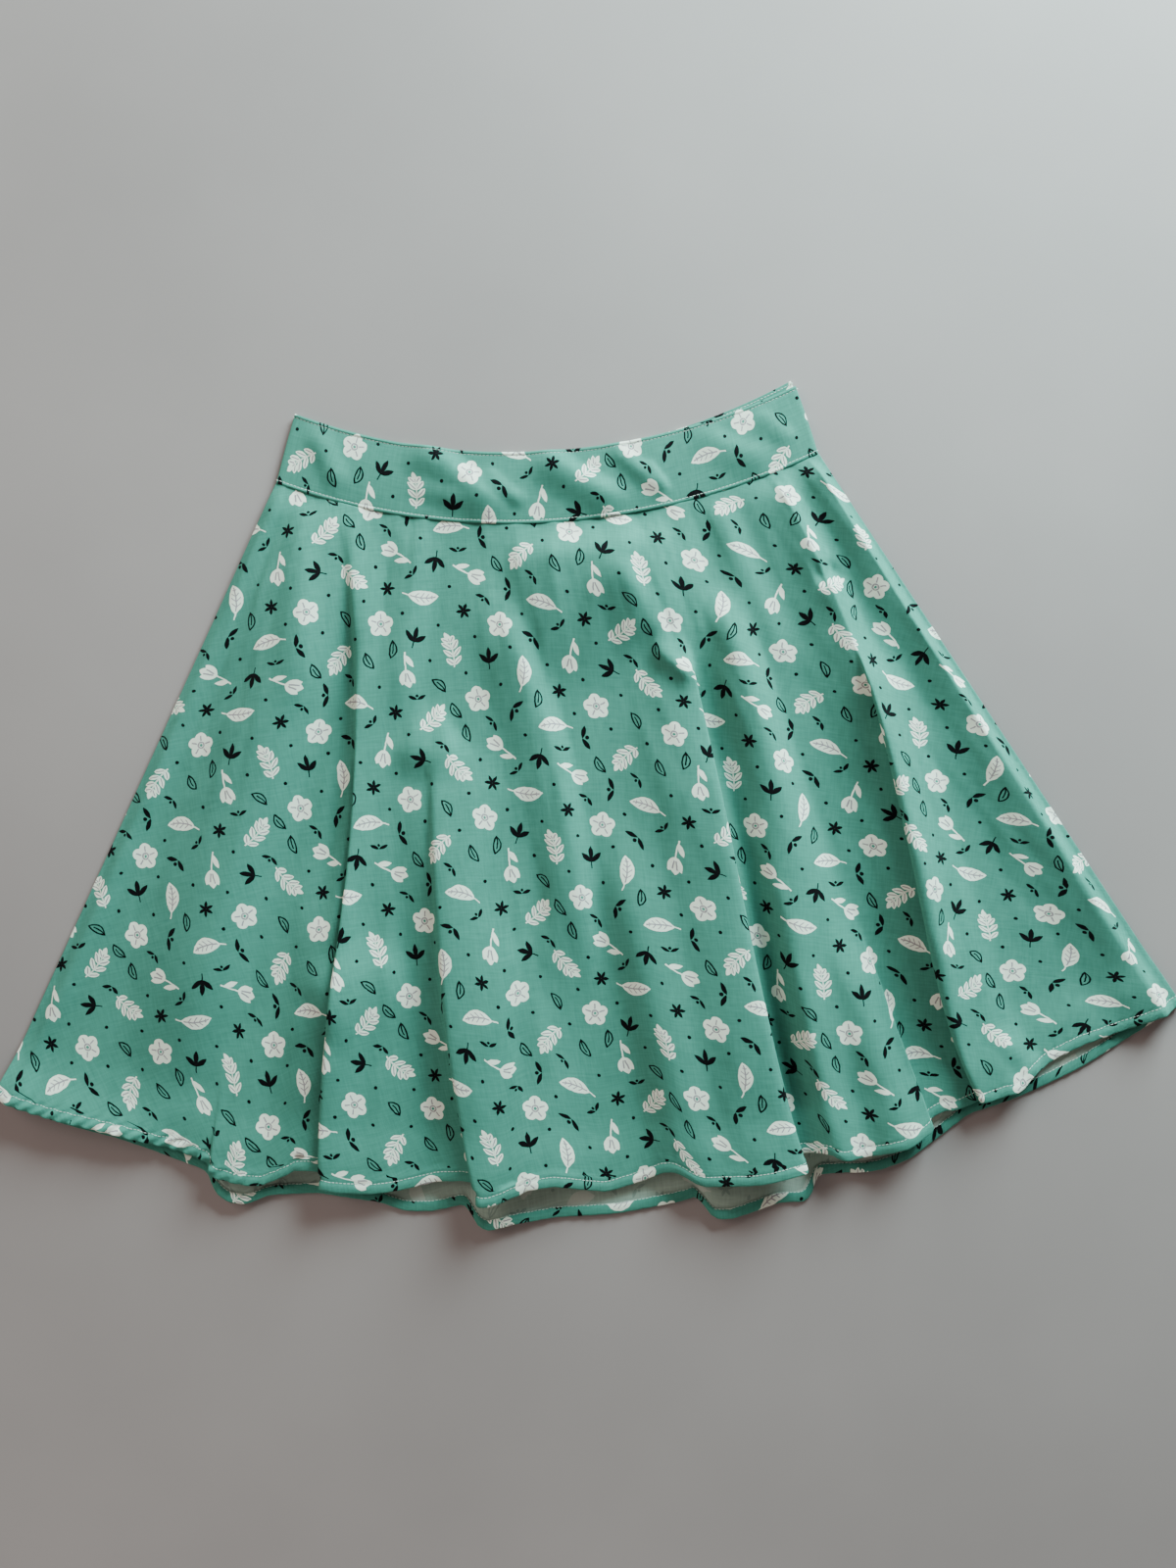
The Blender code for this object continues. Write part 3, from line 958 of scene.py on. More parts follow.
@dataclass
class BackPanel(Panel):
    """The skirt's back, which lies under the front with its wrong side up."""

    name: str = "back_cloth"
    hem: tuple = BACK_HEM
    outside_up: bool = False
    row_count: int = 80
    column_count: int = 260
    cut_place: tuple[float, float] = (2.1, 0.13)    # its place on the print, away from the front's
    ripple: Ripple = Ripple(0.00025, 0.070, 5)
    hover: float = 0.0002
    pull: float = 0.7                      # how strong its hem's roping is

    def cloth(self) -> Cloth:
        """Lay the whole back.

        Returns:
            The laid back, with its edges rolled.
        """
        rows = self.rows(self.row_count)
        across = np.linspace(0.0, 1.0, self.column_count)
        fade = FAN.edge_fade(across)
        laid = []
        for down, end in rows:
            radius = FAN.panel_radius(self.hem, across, across, down, end)
            laid.append(FAN.place(across, radius, self.back_lift(across, down)))
        grid = np.array(laid)
        begun = smooth(np.array([down for down, _end in rows]) / ONSET)[:, None]
        grid[..., 2] += (self.ripple.height_at(grid[..., :2]) + self.hover) * fade * begun
        self.rope(grid, rows, self.pull * fade)
        grid[..., 2] = self.wall / 2.0 + THREAD + np.maximum(grid[..., 2], 0.0)
        grid, down = self.closed(grid)
        cut = flat_cut(grid, self.waist_radius, down) * np.array([-1.0, 1.0])
        return Cloth(grid, cut + np.array(self.cut_place), False)


@dataclass
class Waistband:
    """One half of the curved waistband, front or back."""

    name: str
    front: bool
    thick: float = 0.0015
    cad_wall: float = 0.0018
    gap: float = 0.0003
    height: float = 0.0525
    lap: float = 0.0006                    # how far it lies over the panel's top edge
    spread_left: float = 0.024
    spread_right: float = 0.036
    peek: float = 0.0056
    peek_from: float = 0.70
    columns: int = 190
    row_count: int = 22                    # between its two stitched edges
    edge_rows: tuple[float, ...] = (
        0.0, 0.0004, 0.0008, 0.0012, 0.0016, 0.0020, 0.0024, 0.0029, 0.0035, 0.0043,
    )
    length: float = 0.42
    groove: float = 0.000294               # of its stitches
    edge_swell: float = 0.000588           # between its stitches and its edge
    groove_width: float = 0.0008
    swell_place: float = 0.62              # the edge's swell, as a share of the way to the stitches
    close_width: float = 0.0025            # the two halves close up over this length at each end
    close: float = 0.0005
    inner_close: float = 0.0006
    swell: float = 0.0006
    swell_ease: float = 0.06
    ripple: float = 0.0010
    ripple_beat: tuple[float, float, float] = (4.3, 0.55, 0.1)     # waves along, waves up, and its start
    crease_floor: float = -0.0004
    crease_ease: float = 0.02
    cut_place: tuple[float, float] = (-1.2, 0.4)

    def falls(self) -> np.ndarray:
        """Return how far each row lies below the band's top edge.

        Returns:
            The distances, from 0 to the band's height.
        """
        near = np.array(self.edge_rows)
        middle = np.linspace(near[-1], self.height - near[-1], self.row_count)[1:-1]
        return np.concatenate([near, middle, (self.height - near)[::-1]])

    def puff(self, fall: float) -> float:
        """Return how far the stitches pull a row in, and how far the edge beyond them stands out.

        Args:
            fall: how far the row lies below the top edge.

        Returns:
            The height to add.
        """
        height = 0.0
        for edge, line in ((fall, TOP_STITCH), (self.height - fall, self.height - SEAM_STITCH)):
            height -= self.groove * hump(edge, line, self.groove_width)
            height += self.edge_swell * hump(edge, self.swell_place * line, self.groove_width)
        return height

    def row(self, up: float) -> np.ndarray:
        """Lay one row of the band.

        Args:
            up: its share up, from the waist seam to the top edge.

        Returns:
            The row's points.
        """
        run = np.linspace(0.0, 1.0, self.columns)
        across = run * (1.0 + up * self.spread_right) - (1.0 - run) * up * self.spread_left
        radius = FAN.seam(across) + self.lap - (self.height + self.lap) * up
        close = fading(from_ends(run) * self.length / self.close_width)
        if self.front:
            swell = smooth(from_ends(run) / self.swell_ease) * (1.0 - (1.0 - 2.0 * up) ** 2)
            along_it, up_it, start = self.ripple_beat
            ripple = 0.5 + 0.5 * np.sin(2.0 * math.pi * (along_it * run + up_it * (1.0 - up) + start))
            height = self.cad_wall * 1.5 + self.gap + swell * (self.swell + self.ripple * ripple)
            height = height + (0.5 - close) * self.close + self.puff(self.height * (1.0 - up))
        else:
            peek = np.maximum(run - self.peek_from, 0.0) / (1.0 - self.peek_from)
            radius = radius - self.peek * peek * up
            height = self.thick / 2.0 + THREAD + self.inner_close * close
        return FAN.place(across, radius, height)

    def cloth(self) -> Cloth:
        """Lay the whole band.

        Returns:
            The laid half.
        """
        shares = 1.0 - self.falls() / self.height
        grid = np.array([self.row(up) for up in shares])
        if self.front:
            plan = grid[..., :2].reshape(-1, 2)
            inside = smooth(from_ends(np.linspace(0.0, 1.0, self.columns)) / self.crease_ease)
            lift = sum(crease.height_at(plan) for crease in BAND_CREASES.values()).reshape(grid.shape[:2])
            grid[..., 2] += np.maximum(lift, self.crease_floor) * inside
        middle = along(grid[len(grid) // 2])
        strip = np.stack(np.broadcast_arrays(middle[None, :], (shares * self.height)[:, None]), axis=-1)
        facing = np.array([1.0, 1.0]) if self.front else np.array([-1.0, 1.0])
        return Cloth(grid, strip * facing + np.array(self.cut_place), self.front)

    def stitch_path(self, cloth: Cloth, below_top: float, up: bool) -> np.ndarray:
        """Lay a line of stitches along the band.

        Args:
            cloth: the laid band.
            below_top: how far below the band's top edge.
            up: whether it lies on the upper face.

        Returns:
            The line's points.
        """
        falls = self.falls()
        place = float(np.interp(below_top, falls, np.arange(len(falls))))
        low = int(place)
        facing = 1.0 if up else -1.0
        surface = cloth.grid + facing * self.thick / 2.0 * grid_normals(cloth.grid)
        return surface[low] + (place - low) * (surface[low + 1] - surface[low])


# ---- Nodes and stitches ----


def fill(made: bpy.types.Node, inputs: dict) -> None:
    """Set or link a node's inputs.

    Args:
        made: the node.
        inputs: plain values, sockets or wires, by the inputs' names or numbers.
    """
    for key, value in inputs.items():
        source = value.socket if isinstance(value, Wire) else value
        if isinstance(source, Socket):
            made.id_data.links.new(source, made.inputs[key])
        else:
            made.inputs[key].default_value = source


def node(
    tree: bpy.types.NodeTree, kind: str, inputs: dict | None = None, **settings: object
) -> bpy.types.Node:
    """Add a node to a tree.

    Args:
        tree: the tree.
        kind: the node's type.
        inputs: plain values, sockets or wires, by the inputs' names or numbers.
        settings: the node's other settings.

    Returns:
        The node.
    """
    made = tree.nodes.new(kind)
    for setting, value in settings.items():
        setattr(made, setting, value)
    fill(made, inputs or {})
    return made


class Wire:
    """One value in a node tree; sums with it add the nodes that work them out."""

    def __init__(self, socket: Socket) -> None:
        """Keep the socket that gives the value, and its tree."""
        self.socket = socket
        self.tree = socket.id_data

    def math(self, operation: str, *others: "Wire | float") -> "Wire":
        """Add a Math node.

        Args:
            operation: the node's operation.
            others: its further inputs.

        Returns:
            Its result.
        """
        inputs = dict(enumerate((self, *others)))
        return Wire(node(self.tree, "ShaderNodeMath", inputs, operation=operation).outputs[0])

    def __add__(self, other: "Wire | float") -> "Wire":
        """Return the sum."""
        return self.math("ADD", other)

    def __sub__(self, other: "Wire | float") -> "Wire":
        """Return the difference."""
        return self.math("SUBTRACT", other)

    def __mul__(self, other: "Wire | float") -> "Wire":
        """Return the product."""
        return self.math("MULTIPLY", other)

    def flipped(self, total: float = 0.0) -> "Wire":
        """Return a total less this value."""
        return self.math("MULTIPLY_ADD", -1.0, total)

    def size(self) -> "Wire":
        """Return the value without its sign."""
        return self.math("ABSOLUTE")

    def least(self, other: "Wire | float") -> "Wire":
        """Return the lesser of two."""
        return self.math("MINIMUM", other)

    def most(self, other: "Wire | float") -> "Wire":
        """Return the greater of two."""
        return self.math("MAXIMUM", other)

    def inked(self, soft: float) -> "Wire":
        """Fill a shape whose distance this is.

        Args:
            soft: how wide the shape's soft edge is, to each side.

        Returns:
            1 inside the shape and 0 outside it.
        """
        inputs = {"Value": self, "From Min": soft, "From Max": -soft}
        made = node(self.tree, "ShaderNodeMapRange", inputs, interpolation_type="SMOOTHSTEP")
        return Wire(made.outputs["Result"])


@dataclass
class StitchTree:
    """The geometry nodes that sew thread along a path."""

    name: str = "running stitches"
    pitch: float = 0.0028                  # from stitch to stitch
    stitch: float = 0.0023                 # a stitch's length
    thread: float = THREAD
    wander: float = 0.00010                # how far a stitch strays from the path
    seed: int = 7
    sides: int = 6                         # around a stitch
    rings: int = 5                         # along it
    tree: bpy.types.NodeTree | None = None
    sockets: dict[str, str] = field(default_factory=dict)

    def build(self) -> None:
        """Make the node tree: points along the path, a stitch on each, real meshes, one finish."""
        tree = bpy.data.node_groups.new(self.name, "GeometryNodeTree")
        kinds = {
            "Geometry": "Geometry", "Pitch": "Float", "Stitch length": "Float", "Thread radius": "Float",
            "Wander": "Float", "Seed": "Int", "Thread": "Material",
        }
        for label, kind in kinds.items():
            socket = tree.interface.new_socket(label, in_out="INPUT", socket_type="NodeSocket" + kind)
            self.sockets[label] = socket.identifier
        tree.interface.new_socket("Geometry", in_out="OUTPUT", socket_type="NodeSocketGeometry")
        given = node(tree, "NodeGroupInput").outputs
        curve = node(tree, "GeometryNodeMeshToCurve", {"Mesh": given["Geometry"]})
        inputs = {"Curve": curve.outputs["Curve"], "Length": given["Pitch"]}
        points = node(tree, "GeometryNodeCurveToPoints", inputs, mode="LENGTH").outputs
        inputs = {"Min": (-1.0, -1.0, 0.0), "Max": (1.0, 1.0, 0.0), "Seed": given["Seed"]}
        stray = node(tree, "FunctionNodeRandomValue", inputs, data_type="FLOAT_VECTOR")
        inputs = {0: stray.outputs["Value"], "Scale": given["Wander"]}
        offset = node(tree, "ShaderNodeVectorMath", inputs, operation="SCALE")
        inputs = {"Geometry": points["Points"], "Offset": offset.outputs["Vector"]}
        shifted = node(tree, "GeometryNodeSetPosition", inputs)
        grain = node(tree, "GeometryNodeMeshUVSphere", {"Segments": self.sides, "Rings": self.rings})
        thick, half = given["Thread radius"], Wire(given["Stitch length"]) * 0.5
        size = node(tree, "ShaderNodeCombineXYZ", {"X": thick, "Y": thick, "Z": half})
        inputs = {
            "Points": shifted.outputs["Geometry"], "Instance": grain.outputs["Mesh"],
            "Rotation": points["Rotation"], "Scale": size.outputs["Vector"],
        }
        sewn = node(tree, "GeometryNodeInstanceOnPoints", inputs)
        real = node(tree, "GeometryNodeRealizeInstances", {"Geometry": sewn.outputs["Instances"]})
        rounded = node(tree, "GeometryNodeSetShadeSmooth", {"Geometry": real.outputs["Geometry"]})
        inputs = {"Geometry": rounded.outputs["Geometry"], "Material": given["Thread"]}
        dress = node(tree, "GeometryNodeSetMaterial", inputs)
        node(tree, "NodeGroupOutput", {"Geometry": dress.outputs["Geometry"]})
        self.tree = tree

    def sew(self, name: str, paths: list[np.ndarray], thread: Finish) -> bpy.types.Object:
        """Sew a line of stitches along each path.

        Args:
            name: the piece's name.
            paths: rows of points on the cloth's face.
            thread: the thread's material.

        Returns:
            The stitches as one plain mesh, in the scene.
        """
        if self.tree is None:
            self.build()
        points, edges = [], []
        for path in paths:
            first = len(points)
            points += path.tolist()
            edges += [(first + step, first + step + 1) for step in range(len(path) - 1)]
        guide_mesh = bpy.data.meshes.new(name + "_path")
        guide_mesh.from_pydata(points, edges, [])
        guide = placed(name + "_path", guide_mesh)
        nodes = guide.modifiers.new("stitches", "NODES")
        nodes.node_group = self.tree
        settings = {
            "Pitch": self.pitch, "Stitch length": self.stitch, "Thread radius": self.thread,
            "Wander": self.wander, "Seed": self.seed, "Thread": thread,
        }
        for label, value in settings.items():
            nodes[self.sockets[label]] = value
        graph = bpy.context.evaluated_depsgraph_get()
        mesh = bpy.data.meshes.new_from_object(guide.evaluated_get(graph), depsgraph=graph)
        mesh.name = name
        bpy.data.objects.remove(guide, do_unlink=True)
        return placed(name, mesh)


# ---- Finishes ----


Spot = tuple[Wire, Wire]


def far(spot: Spot) -> Wire:
    """Return the distance of a spot from the middle."""
    x, y = spot
    return (x * x + y * y).math("SQRT")


def moved(spot: Spot, x: float, y: float = 0.0) -> Spot:
    """Return a spot as seen from another middle."""
    return spot[0] - x, spot[1] - y


def turned(spot: Spot, degrees: float) -> Spot:
    """Return a spot as seen by a shape that is turned to the left.

    Args:
        spot: the spot.
        degrees: how far.

    Returns:
        The spot in the shape's own directions.
    """
    cosine, sine = math.cos(math.radians(degrees)), math.sin(math.radians(degrees))
    x, y = spot
    return x * cosine + y * sine, y * cosine - x * sine


def shrunk(spot: Spot, times: float) -> Spot:
    """Return a spot as seen by a shape that is drawn that many times smaller."""
    return spot[0] * times, spot[1] * times


def bent(spot: Spot, bend: float) -> Spot:
    """Return a spot as seen by a shape that is bent sideways."""
    x, y = spot
    return x, y - x * x * bend


def almond(spot: Spot, length: float, width: float) -> Wire:
    """Draw a pointed oval, round on both sides.

    Args:
        spot: the spot, from the oval's middle.
        length: its length.
        width: its width.

    Returns:
        The distance from its outline, below 0 inside.
    """
    shift = (length**2 - width**2) / (4.0 * width)
    x, y = spot
    return far((x, y.size() + shift)) - (shift + width / 2.0)


def stroke(spot: Spot, length: float, width: float) -> Wire:
    """Return the distance from a straight stroke through the middle."""
    x, y = spot
    return (x.size() - length / 2.0).most(y.size() - width / 2.0)


def petal_of(spot: Spot, petals: int) -> tuple[Spot, Wire]:
    """Fold a flower onto half of one petal.

    Args:
        spot: the spot, from the flower's middle.
        petals: how many petals it has.

    Returns:
        The spot as seen by a petal that points along x, and its distance from the middle.
    """
    x, y = spot
    radius = far(spot)
    share = y.math("ARCTAN2", x) * (petals / 2.0 / math.pi)
    angle = (share.math("FRACT") - 0.5).size() * (2.0 / petals * math.pi)
    return (radius * angle.math("COSINE"), radius * angle.math("SINE")), radius


def blossom(spot: Spot) -> tuple[Wire, Wire]:
    """Draw an open flower with five petals: its shape and its brush strokes.

    Args:
        spot: the spot in millimetres, from the motif's middle.

    Returns:
        The distances from its outline and from its strokes, below 0 inside them.
    """
    petal, radius = petal_of(spot, 5)
    shape = far(moved(petal, 6.0)) - 4.9
    veins = stroke(moved(petal, 6.0), 4.6, 1.1)
    eye = (radius - 2.4).size() - 0.7
    return shape, veins.least(eye)


def tulip(spot: Spot) -> tuple[Wire, Wire]:
    """Draw a closed flower on a stem with one leaf: its shape and its brush strokes.

    Args:
        spot: the spot in millimetres, from the motif's middle.

    Returns:
        The distances from its outline and from its strokes, below 0 inside them.
    """
    spot = bent(spot, 0.006)
    base = moved(spot, -1.0)
    middle = almond(moved(base, 8.0), 15.0, 8.5)
    left = almond(moved(turned(base, 24.0), 7.0), 13.5, 6.5)
    right = almond(moved(turned(base, -24.0), 7.0), 13.5, 6.5)
    stem = stroke(moved(spot, -8.0), 15.0, 1.3)
    leaf = almond(moved(turned(moved(spot, -13.0), 32.0), 6.5), 13.0, 4.2)
    shape = middle.least(left).least(right).least(stem).least(leaf)
    ribs = stroke(moved(turned(base, 11.0), 7.5), 8.0, 1.2)
    return shape, ribs.least(stroke(moved(turned(base, -11.0), 7.0), 7.0, 1.2))


def broad_leaf(spot: Spot) -> tuple[Wire, Wire]:
    """Draw a broad bent leaf: its shape and its brush strokes.

    Args:
        spot: the spot in millimetres, from the motif's middle.

    Returns:
        The distances from its outline and from its strokes, below 0 inside them.
    """
    x, y = bent(spot, 0.013)
    shape = almond((x, y), 26.0, 12.0).least(stroke(moved((x, y), -14.5), 6.0, 1.2))
    rib = stroke((x, y), 21.0, 1.1)
    slant = ((x - y.size() * 0.9) * 0.22).math("FRACT") - 0.5
    veins = (slant.size() - 0.11) * 4.5
    inner = almond((x, y), 20.0, 8.0)
    return shape, rib.least(veins.most(inner))


def sprig(spot: Spot) -> tuple[Wire, Wire]:
    """Draw a stem with four pairs of leaves: its shape and its brush strokes.

    Args:
        spot: the spot in millimetres, from the motif's middle.

    Returns:
        The distances from its outline and from its strokes, below 0 inside them.
    """
    x, y = bent(spot, 0.010)
    shape = stroke((x, y), 26.0, 1.2).least(almond(moved((x, y), 12.5), 9.0, 4.6))
    ribs = stroke((x, y), 22.0, 0.8)
    half = (x, y.size())
    for foot, length in ((-11.0, 9.0), (-4.5, 10.5), (2.0, 10.0), (7.5, 7.5)):
        leaf = turned(moved(half, foot), 46.0)
        shape = shape.least(almond(moved(leaf, length / 2.0), length, 4.4))
        ribs = ribs.least(stroke(moved(leaf, length / 2.0), length - 3.0, 0.9))
    return shape, ribs


def dark_sprig(spot: Spot) -> Wire:
    """Draw three dark leaves on a short stem.

    Args:
        spot: the spot in millimetres, from the motif's middle.

    Returns:
        The distance from its outline, below 0 inside.
    """
    x, y = spot
    side = turned(moved((x, y.size()), -3.0), 48.0)
    shape = almond(moved(side, 5.2), 10.5, 3.8)
    return shape.least(almond(moved(spot, 3.5), 11.0, 3.8)).least(stroke(moved(spot, -4.5), 6.5, 0.9))


def dark_pair(spot: Spot) -> Wire:
    """Draw two dark leaves and a berry.

    Args:
        spot: the spot in millimetres, from the motif's middle.

    Returns:
        The distance from its outline, below 0 inside.
    """
    x, y = spot
    side = turned(moved((x, y.size()), -1.5), 66.0)
    leaf = almond(moved(side, 5.0), 10.0, 3.4)
    return leaf.least(far(moved(spot, 2.2)) - 1.5)


def dark_star(spot: Spot) -> Wire:
    """Draw a small dark flower with six pointed petals."""
    return almond(moved(petal_of(spot, 6)[0], 3.0), 6.0, 2.4)


def outlined_leaf(spot: Spot) -> Wire:
    """Draw the thin dark outline of a leaf, with its rib.

    Args:
        spot: the spot in millimetres, from the motif's middle.

    Returns:
        The distance from its outline, below 0 inside.
    """
    spot = bent(spot, 0.03)
    outline = almond(spot, 12.5, 5.4).size() - 0.6
    return outline.least(stroke(moved(spot, -2.0), 10.0, 1.0))


@dataclass(frozen=True)
class Chart:
    """A repeat of four by four cells: what each holds, its turn, and how far it is moved."""

    kinds: str                             # one digit a cell
    turns: tuple[int, ...]                 # degrees
    shifts: tuple[tuple[int, int], ...]    # tenths of a millimetre

    def read(self, cell: Spot) -> tuple[Wire, Wire, Spot]:
        """Add the nodes that look a cell up.

        Args:
            cell: the cell's column and row, as whole numbers.

        Returns:
            Its kind, its turn in radians, and its shift in millimetres.
        """
        column = cell[0].math("FLOORED_MODULO", 4.0)
        row = cell[1].math("FLOORED_MODULO", 4.0)
        share = (column + row * 4.0 + 0.5) * (1.0 / 16.0)
        first, second = [], []
        for kind, turn, (x, y) in zip(self.kinds, self.turns, self.shifts):
            first.append((int(kind) / 8.0, turn / 360.0, x / 200.0 + 0.5))
            second.append((y / 200.0 + 0.5, 0.0, 0.0))
        kind, turn, x = self.ramp(share, first)
        y = self.ramp(share, second)[0]
        return kind * 8.0, turn * (2.0 * math.pi), ((x - 0.5) * 20.0, (y - 0.5) * 20.0)

    def ramp(self, share: Wire, values: list[tuple[float, float, float]]) -> list[Wire]:
        """Look three values up in a stepped colour ramp.

        Args:
            share: the cell's share through the repeat.
            values: the three values of each cell, from 0 to 1.

        Returns:
            The cell's three values.
        """
        steps = node(share.tree, "ShaderNodeValToRGB", {"Fac": share})
        ramp = steps.color_ramp
        ramp.interpolation = "CONSTANT"
        for index, value in enumerate(values):
            stop = ramp.elements[index] if index < 2 else ramp.elements.new(index / len(values))
            stop.position = index / len(values)
            stop.color = (*value, 1.0)
        split = node(share.tree, "ShaderNodeSeparateColor", {"Color": steps.outputs["Color"]})
        return [Wire(split.outputs[name]) for name in ("Red", "Green", "Blue")]


@dataclass(frozen=True)
class BotanicalPrint:
    """A tossed print: pale flowers and leaves, with small dark ones and dots between them."""

    cell: float = 40.5                     # millimetres
    lean: float = 24.0                     # degrees between the repeat and the grain
    edge: float = 0.12                     # how soft the inks' edges are, in millimetres
    brush_edge: float = 0.2
    shake: float = 260.0                   # how fine the inks' unsteadiness is, in a metre
    clearing: float = 0.5                  # between a pale motif and the dark ones
    pale_shrink: float = 1.13
    bud_shrink: float = 1.35
    bud_edge: float = 0.74
    dot: float = 1.35                      # the dots' radius
    pale: Chart = Chart(
        "0213130220312130",
        (20, 140, 250, 75, 310, 200, 95, 330, 160, 40, 285, 120, 60, 235, 15, 180),
        ((8, -12), (-20, 10), (15, 18), (-10, -20), (-16, 14), (12, -18), (20, 8), (-8, 16),
         (18, -6), (-14, -14), (6, 20), (-18, 4), (10, 12), (-12, -16), (16, 6), (-6, -10)),
    )
    dark: Chart = Chart(
        "0123213001321203",
        (65, 200, 320, 110, 10, 150, 270, 45, 230, 345, 90, 180, 300, 25, 135, 255),
        ((10, 8), (-12, 4), (6, -14), (-8, 12), (14, -4), (-6, -10), (4, 14), (-14, -6),
         (8, 10), (-10, 12), (12, -8), (-4, 6), (6, 4), (-12, -12), (10, -6), (-8, 8)),
    )
    filler: Chart = Chart(
        "0010010200100120",
        (0, 90, 215, 30, 140, 300, 60, 170, 20, 250, 340, 120, 75, 200, 310, 45),
        ((6, -8), (-10, 4), (4, 10), (8, -4), (-6, 8), (10, 2), (-4, -10), (2, 8),
         (-8, -2), (6, 6), (-2, -6), (8, 8), (-6, -4), (4, -8), (-10, 6), (0, 4)),
    )

    def build(self) -> bpy.types.NodeTree:
        """Make the print's node group, from a place on the cut to the inks' shares.

        Returns:
            The group, which gives the shares of the pale, the brush and the dark ink.
        """
        tree = bpy.data.node_groups.new("botanical print", "ShaderNodeTree")
        face = tree.interface
        face.new_socket("Cut", in_out="INPUT", socket_type="NodeSocketVector")
        for label in ("Pale", "Brush", "Dark"):
            face.new_socket(label, in_out="OUTPUT", socket_type="NodeSocketFloat")
        spot = self.millimetres(tree, node(tree, "NodeGroupInput").outputs["Cut"])
        grid = shrunk(spot, 1.0 / self.cell)
        pale, brush = self.pale_inks(grid)
        dark = self.dark_ink((grid[0] + 0.5, grid[1] + 0.5))
        small = self.filler_ink((grid[0] + grid[1], grid[0] - grid[1]))
        between = dark.least(small).most(pale.flipped(self.clearing))
        strokes = brush.most(pale + self.clearing)
        inks = {
            "Pale": pale.inked(self.edge), "Brush": strokes.inked(self.brush_edge),
            "Dark": between.inked(self.edge),
        }
        node(tree, "NodeGroupOutput", inks)
        return tree

    def millimetres(self, tree: bpy.types.NodeTree, cut: Socket) -> Spot:
        """Turn a place on the cut into millimetres along the repeat, a little unsteady as ink is.

        Args:
            tree: the print's node tree.
            cut: the place on the cut.

        Returns:
            The place in millimetres.
        """
        noise = node(tree, "ShaderNodeTexNoise", {"Vector": cut, "Scale": self.shake, "Detail": 1.0})
        shake = node(tree, "ShaderNodeSeparateColor", {"Color": noise.outputs["Color"]}).outputs
        split = node(tree, "ShaderNodeSeparateXYZ", {"Vector": cut}).outputs
        x = Wire(split["X"]) * 1000.0 + Wire(shake["Red"])
        y = Wire(split["Y"]) * 1000.0 + Wire(shake["Green"])
        return turned((x, y), self.lean)

    def in_cell(self, grid: Spot, chart: Chart, cell: float) -> tuple[Wire, Spot]:
        """Find what a cell holds, and the spot as its motif sees it.

        Args:
            grid: the place, in cells.
            chart: the repeat.
            cell: the cell's size in millimetres.

        Returns:
            The motif's kind, and the spot in millimetres from its middle.
        """
        corner = (grid[0].math("FLOOR"), grid[1].math("FLOOR"))
        kind, turn, shift = chart.read(corner)
        x = (grid[0] - corner[0] - 0.5) * cell - shift[0]
        y = (grid[1] - corner[1] - 0.5) * cell - shift[1]
        cosine, sine = turn.math("COSINE"), turn.math("SINE")
        return kind, (x * cosine + y * sine, y * cosine - x * sine)

    def chosen(self, kind: Wire, shapes: list[Wire]) -> Wire:
        """Return the shape that the kind picks."""
        parts = [shape * kind.math("COMPARE", float(number), 0.5) for number, shape in enumerate(shapes)]
        return functools.reduce(operator.add, parts)

    def pale_inks(self, grid: Spot) -> tuple[Wire, Wire]:
        """Draw the pale motifs and the grey strokes on them.

        Args:
            grid: the place, in cells.

        Returns:
            The distances from the motifs' outlines and from their strokes.
        """
        kind, spot = self.in_cell(grid, self.pale, self.cell)
        spot = shrunk(spot, self.pale_shrink)
        drawn = [motif(spot) for motif in (blossom, tulip, broad_leaf, sprig)]
        shape = self.chosen(kind, [shape for shape, _strokes in drawn])
        return shape, self.chosen(kind, [strokes for _shape, strokes in drawn])

    def dark_ink(self, grid: Spot) -> Wire:
        """Draw the dark motifs, on the corners of the pale ones' cells.

        Args:
            grid: the place, in cells.

        Returns:
            The distance from the motifs.
        """
        kind, spot = self.in_cell(grid, self.dark, self.cell)
        motifs = (dark_sprig, dark_pair, dark_star, outlined_leaf)
        return self.chosen(kind, [motif(spot) for motif in motifs])

    def filler_ink(self, grid: Spot) -> Wire:
        """Draw the dots, and some outlined leaves, on the edges of the pale ones' cells.

        Args:
            grid: the place, in cells.

        Returns:
            The distance from the motifs.
        """
        kind, spot = self.in_cell(grid, self.filler, self.cell / math.sqrt(2.0))
        bud = dark_pair(shrunk(spot, self.bud_shrink)) * self.bud_edge
        return self.chosen(kind, [far(spot) - self.dot, bud, outlined_leaf(spot)])


def new_finish(name: str) -> tuple[Finish, bpy.types.NodeTree, bpy.types.Node]:
    """Make a material, and return it with its node tree and its shader.

    Args:
        name: the material's name.

    Returns:
        The material, its node tree and its shader.
    """
    material = bpy.data.materials.new(name)
    material.use_nodes = True
    return material, material.node_tree, material.node_tree.nodes["Principled BSDF"]


def relief(tree: bpy.types.NodeTree, height: Wire, strength: float, distance: float) -> Socket:
    """Return the shader's normal over a fine relief of that height."""
    inputs = {"Height": height, "Strength": strength, "Distance": distance}
    return node(tree, "ShaderNodeBump", inputs).outputs["Normal"]


def two_tone(share: Wire, dark: Colour, light: Colour, ends: tuple[float, float] = (0.0, 1.0)) -> Socket:
    """Return a colour between two, by a share.

    Args:
        share: 0 at the dark end and 1 at the light one.
        dark: the dark colour.
        light: the light colour.
        ends: the shares at which the two colours begin.

    Returns:
        The colour.
    """
    shade = node(share.tree, "ShaderNodeValToRGB", {"Fac": share})
    for stop, place, colour in zip(shade.color_ramp.elements, ends, (dark, light)):
        stop.position = place
        stop.color = (*colour, 1.0)
    return shade.outputs["Color"]


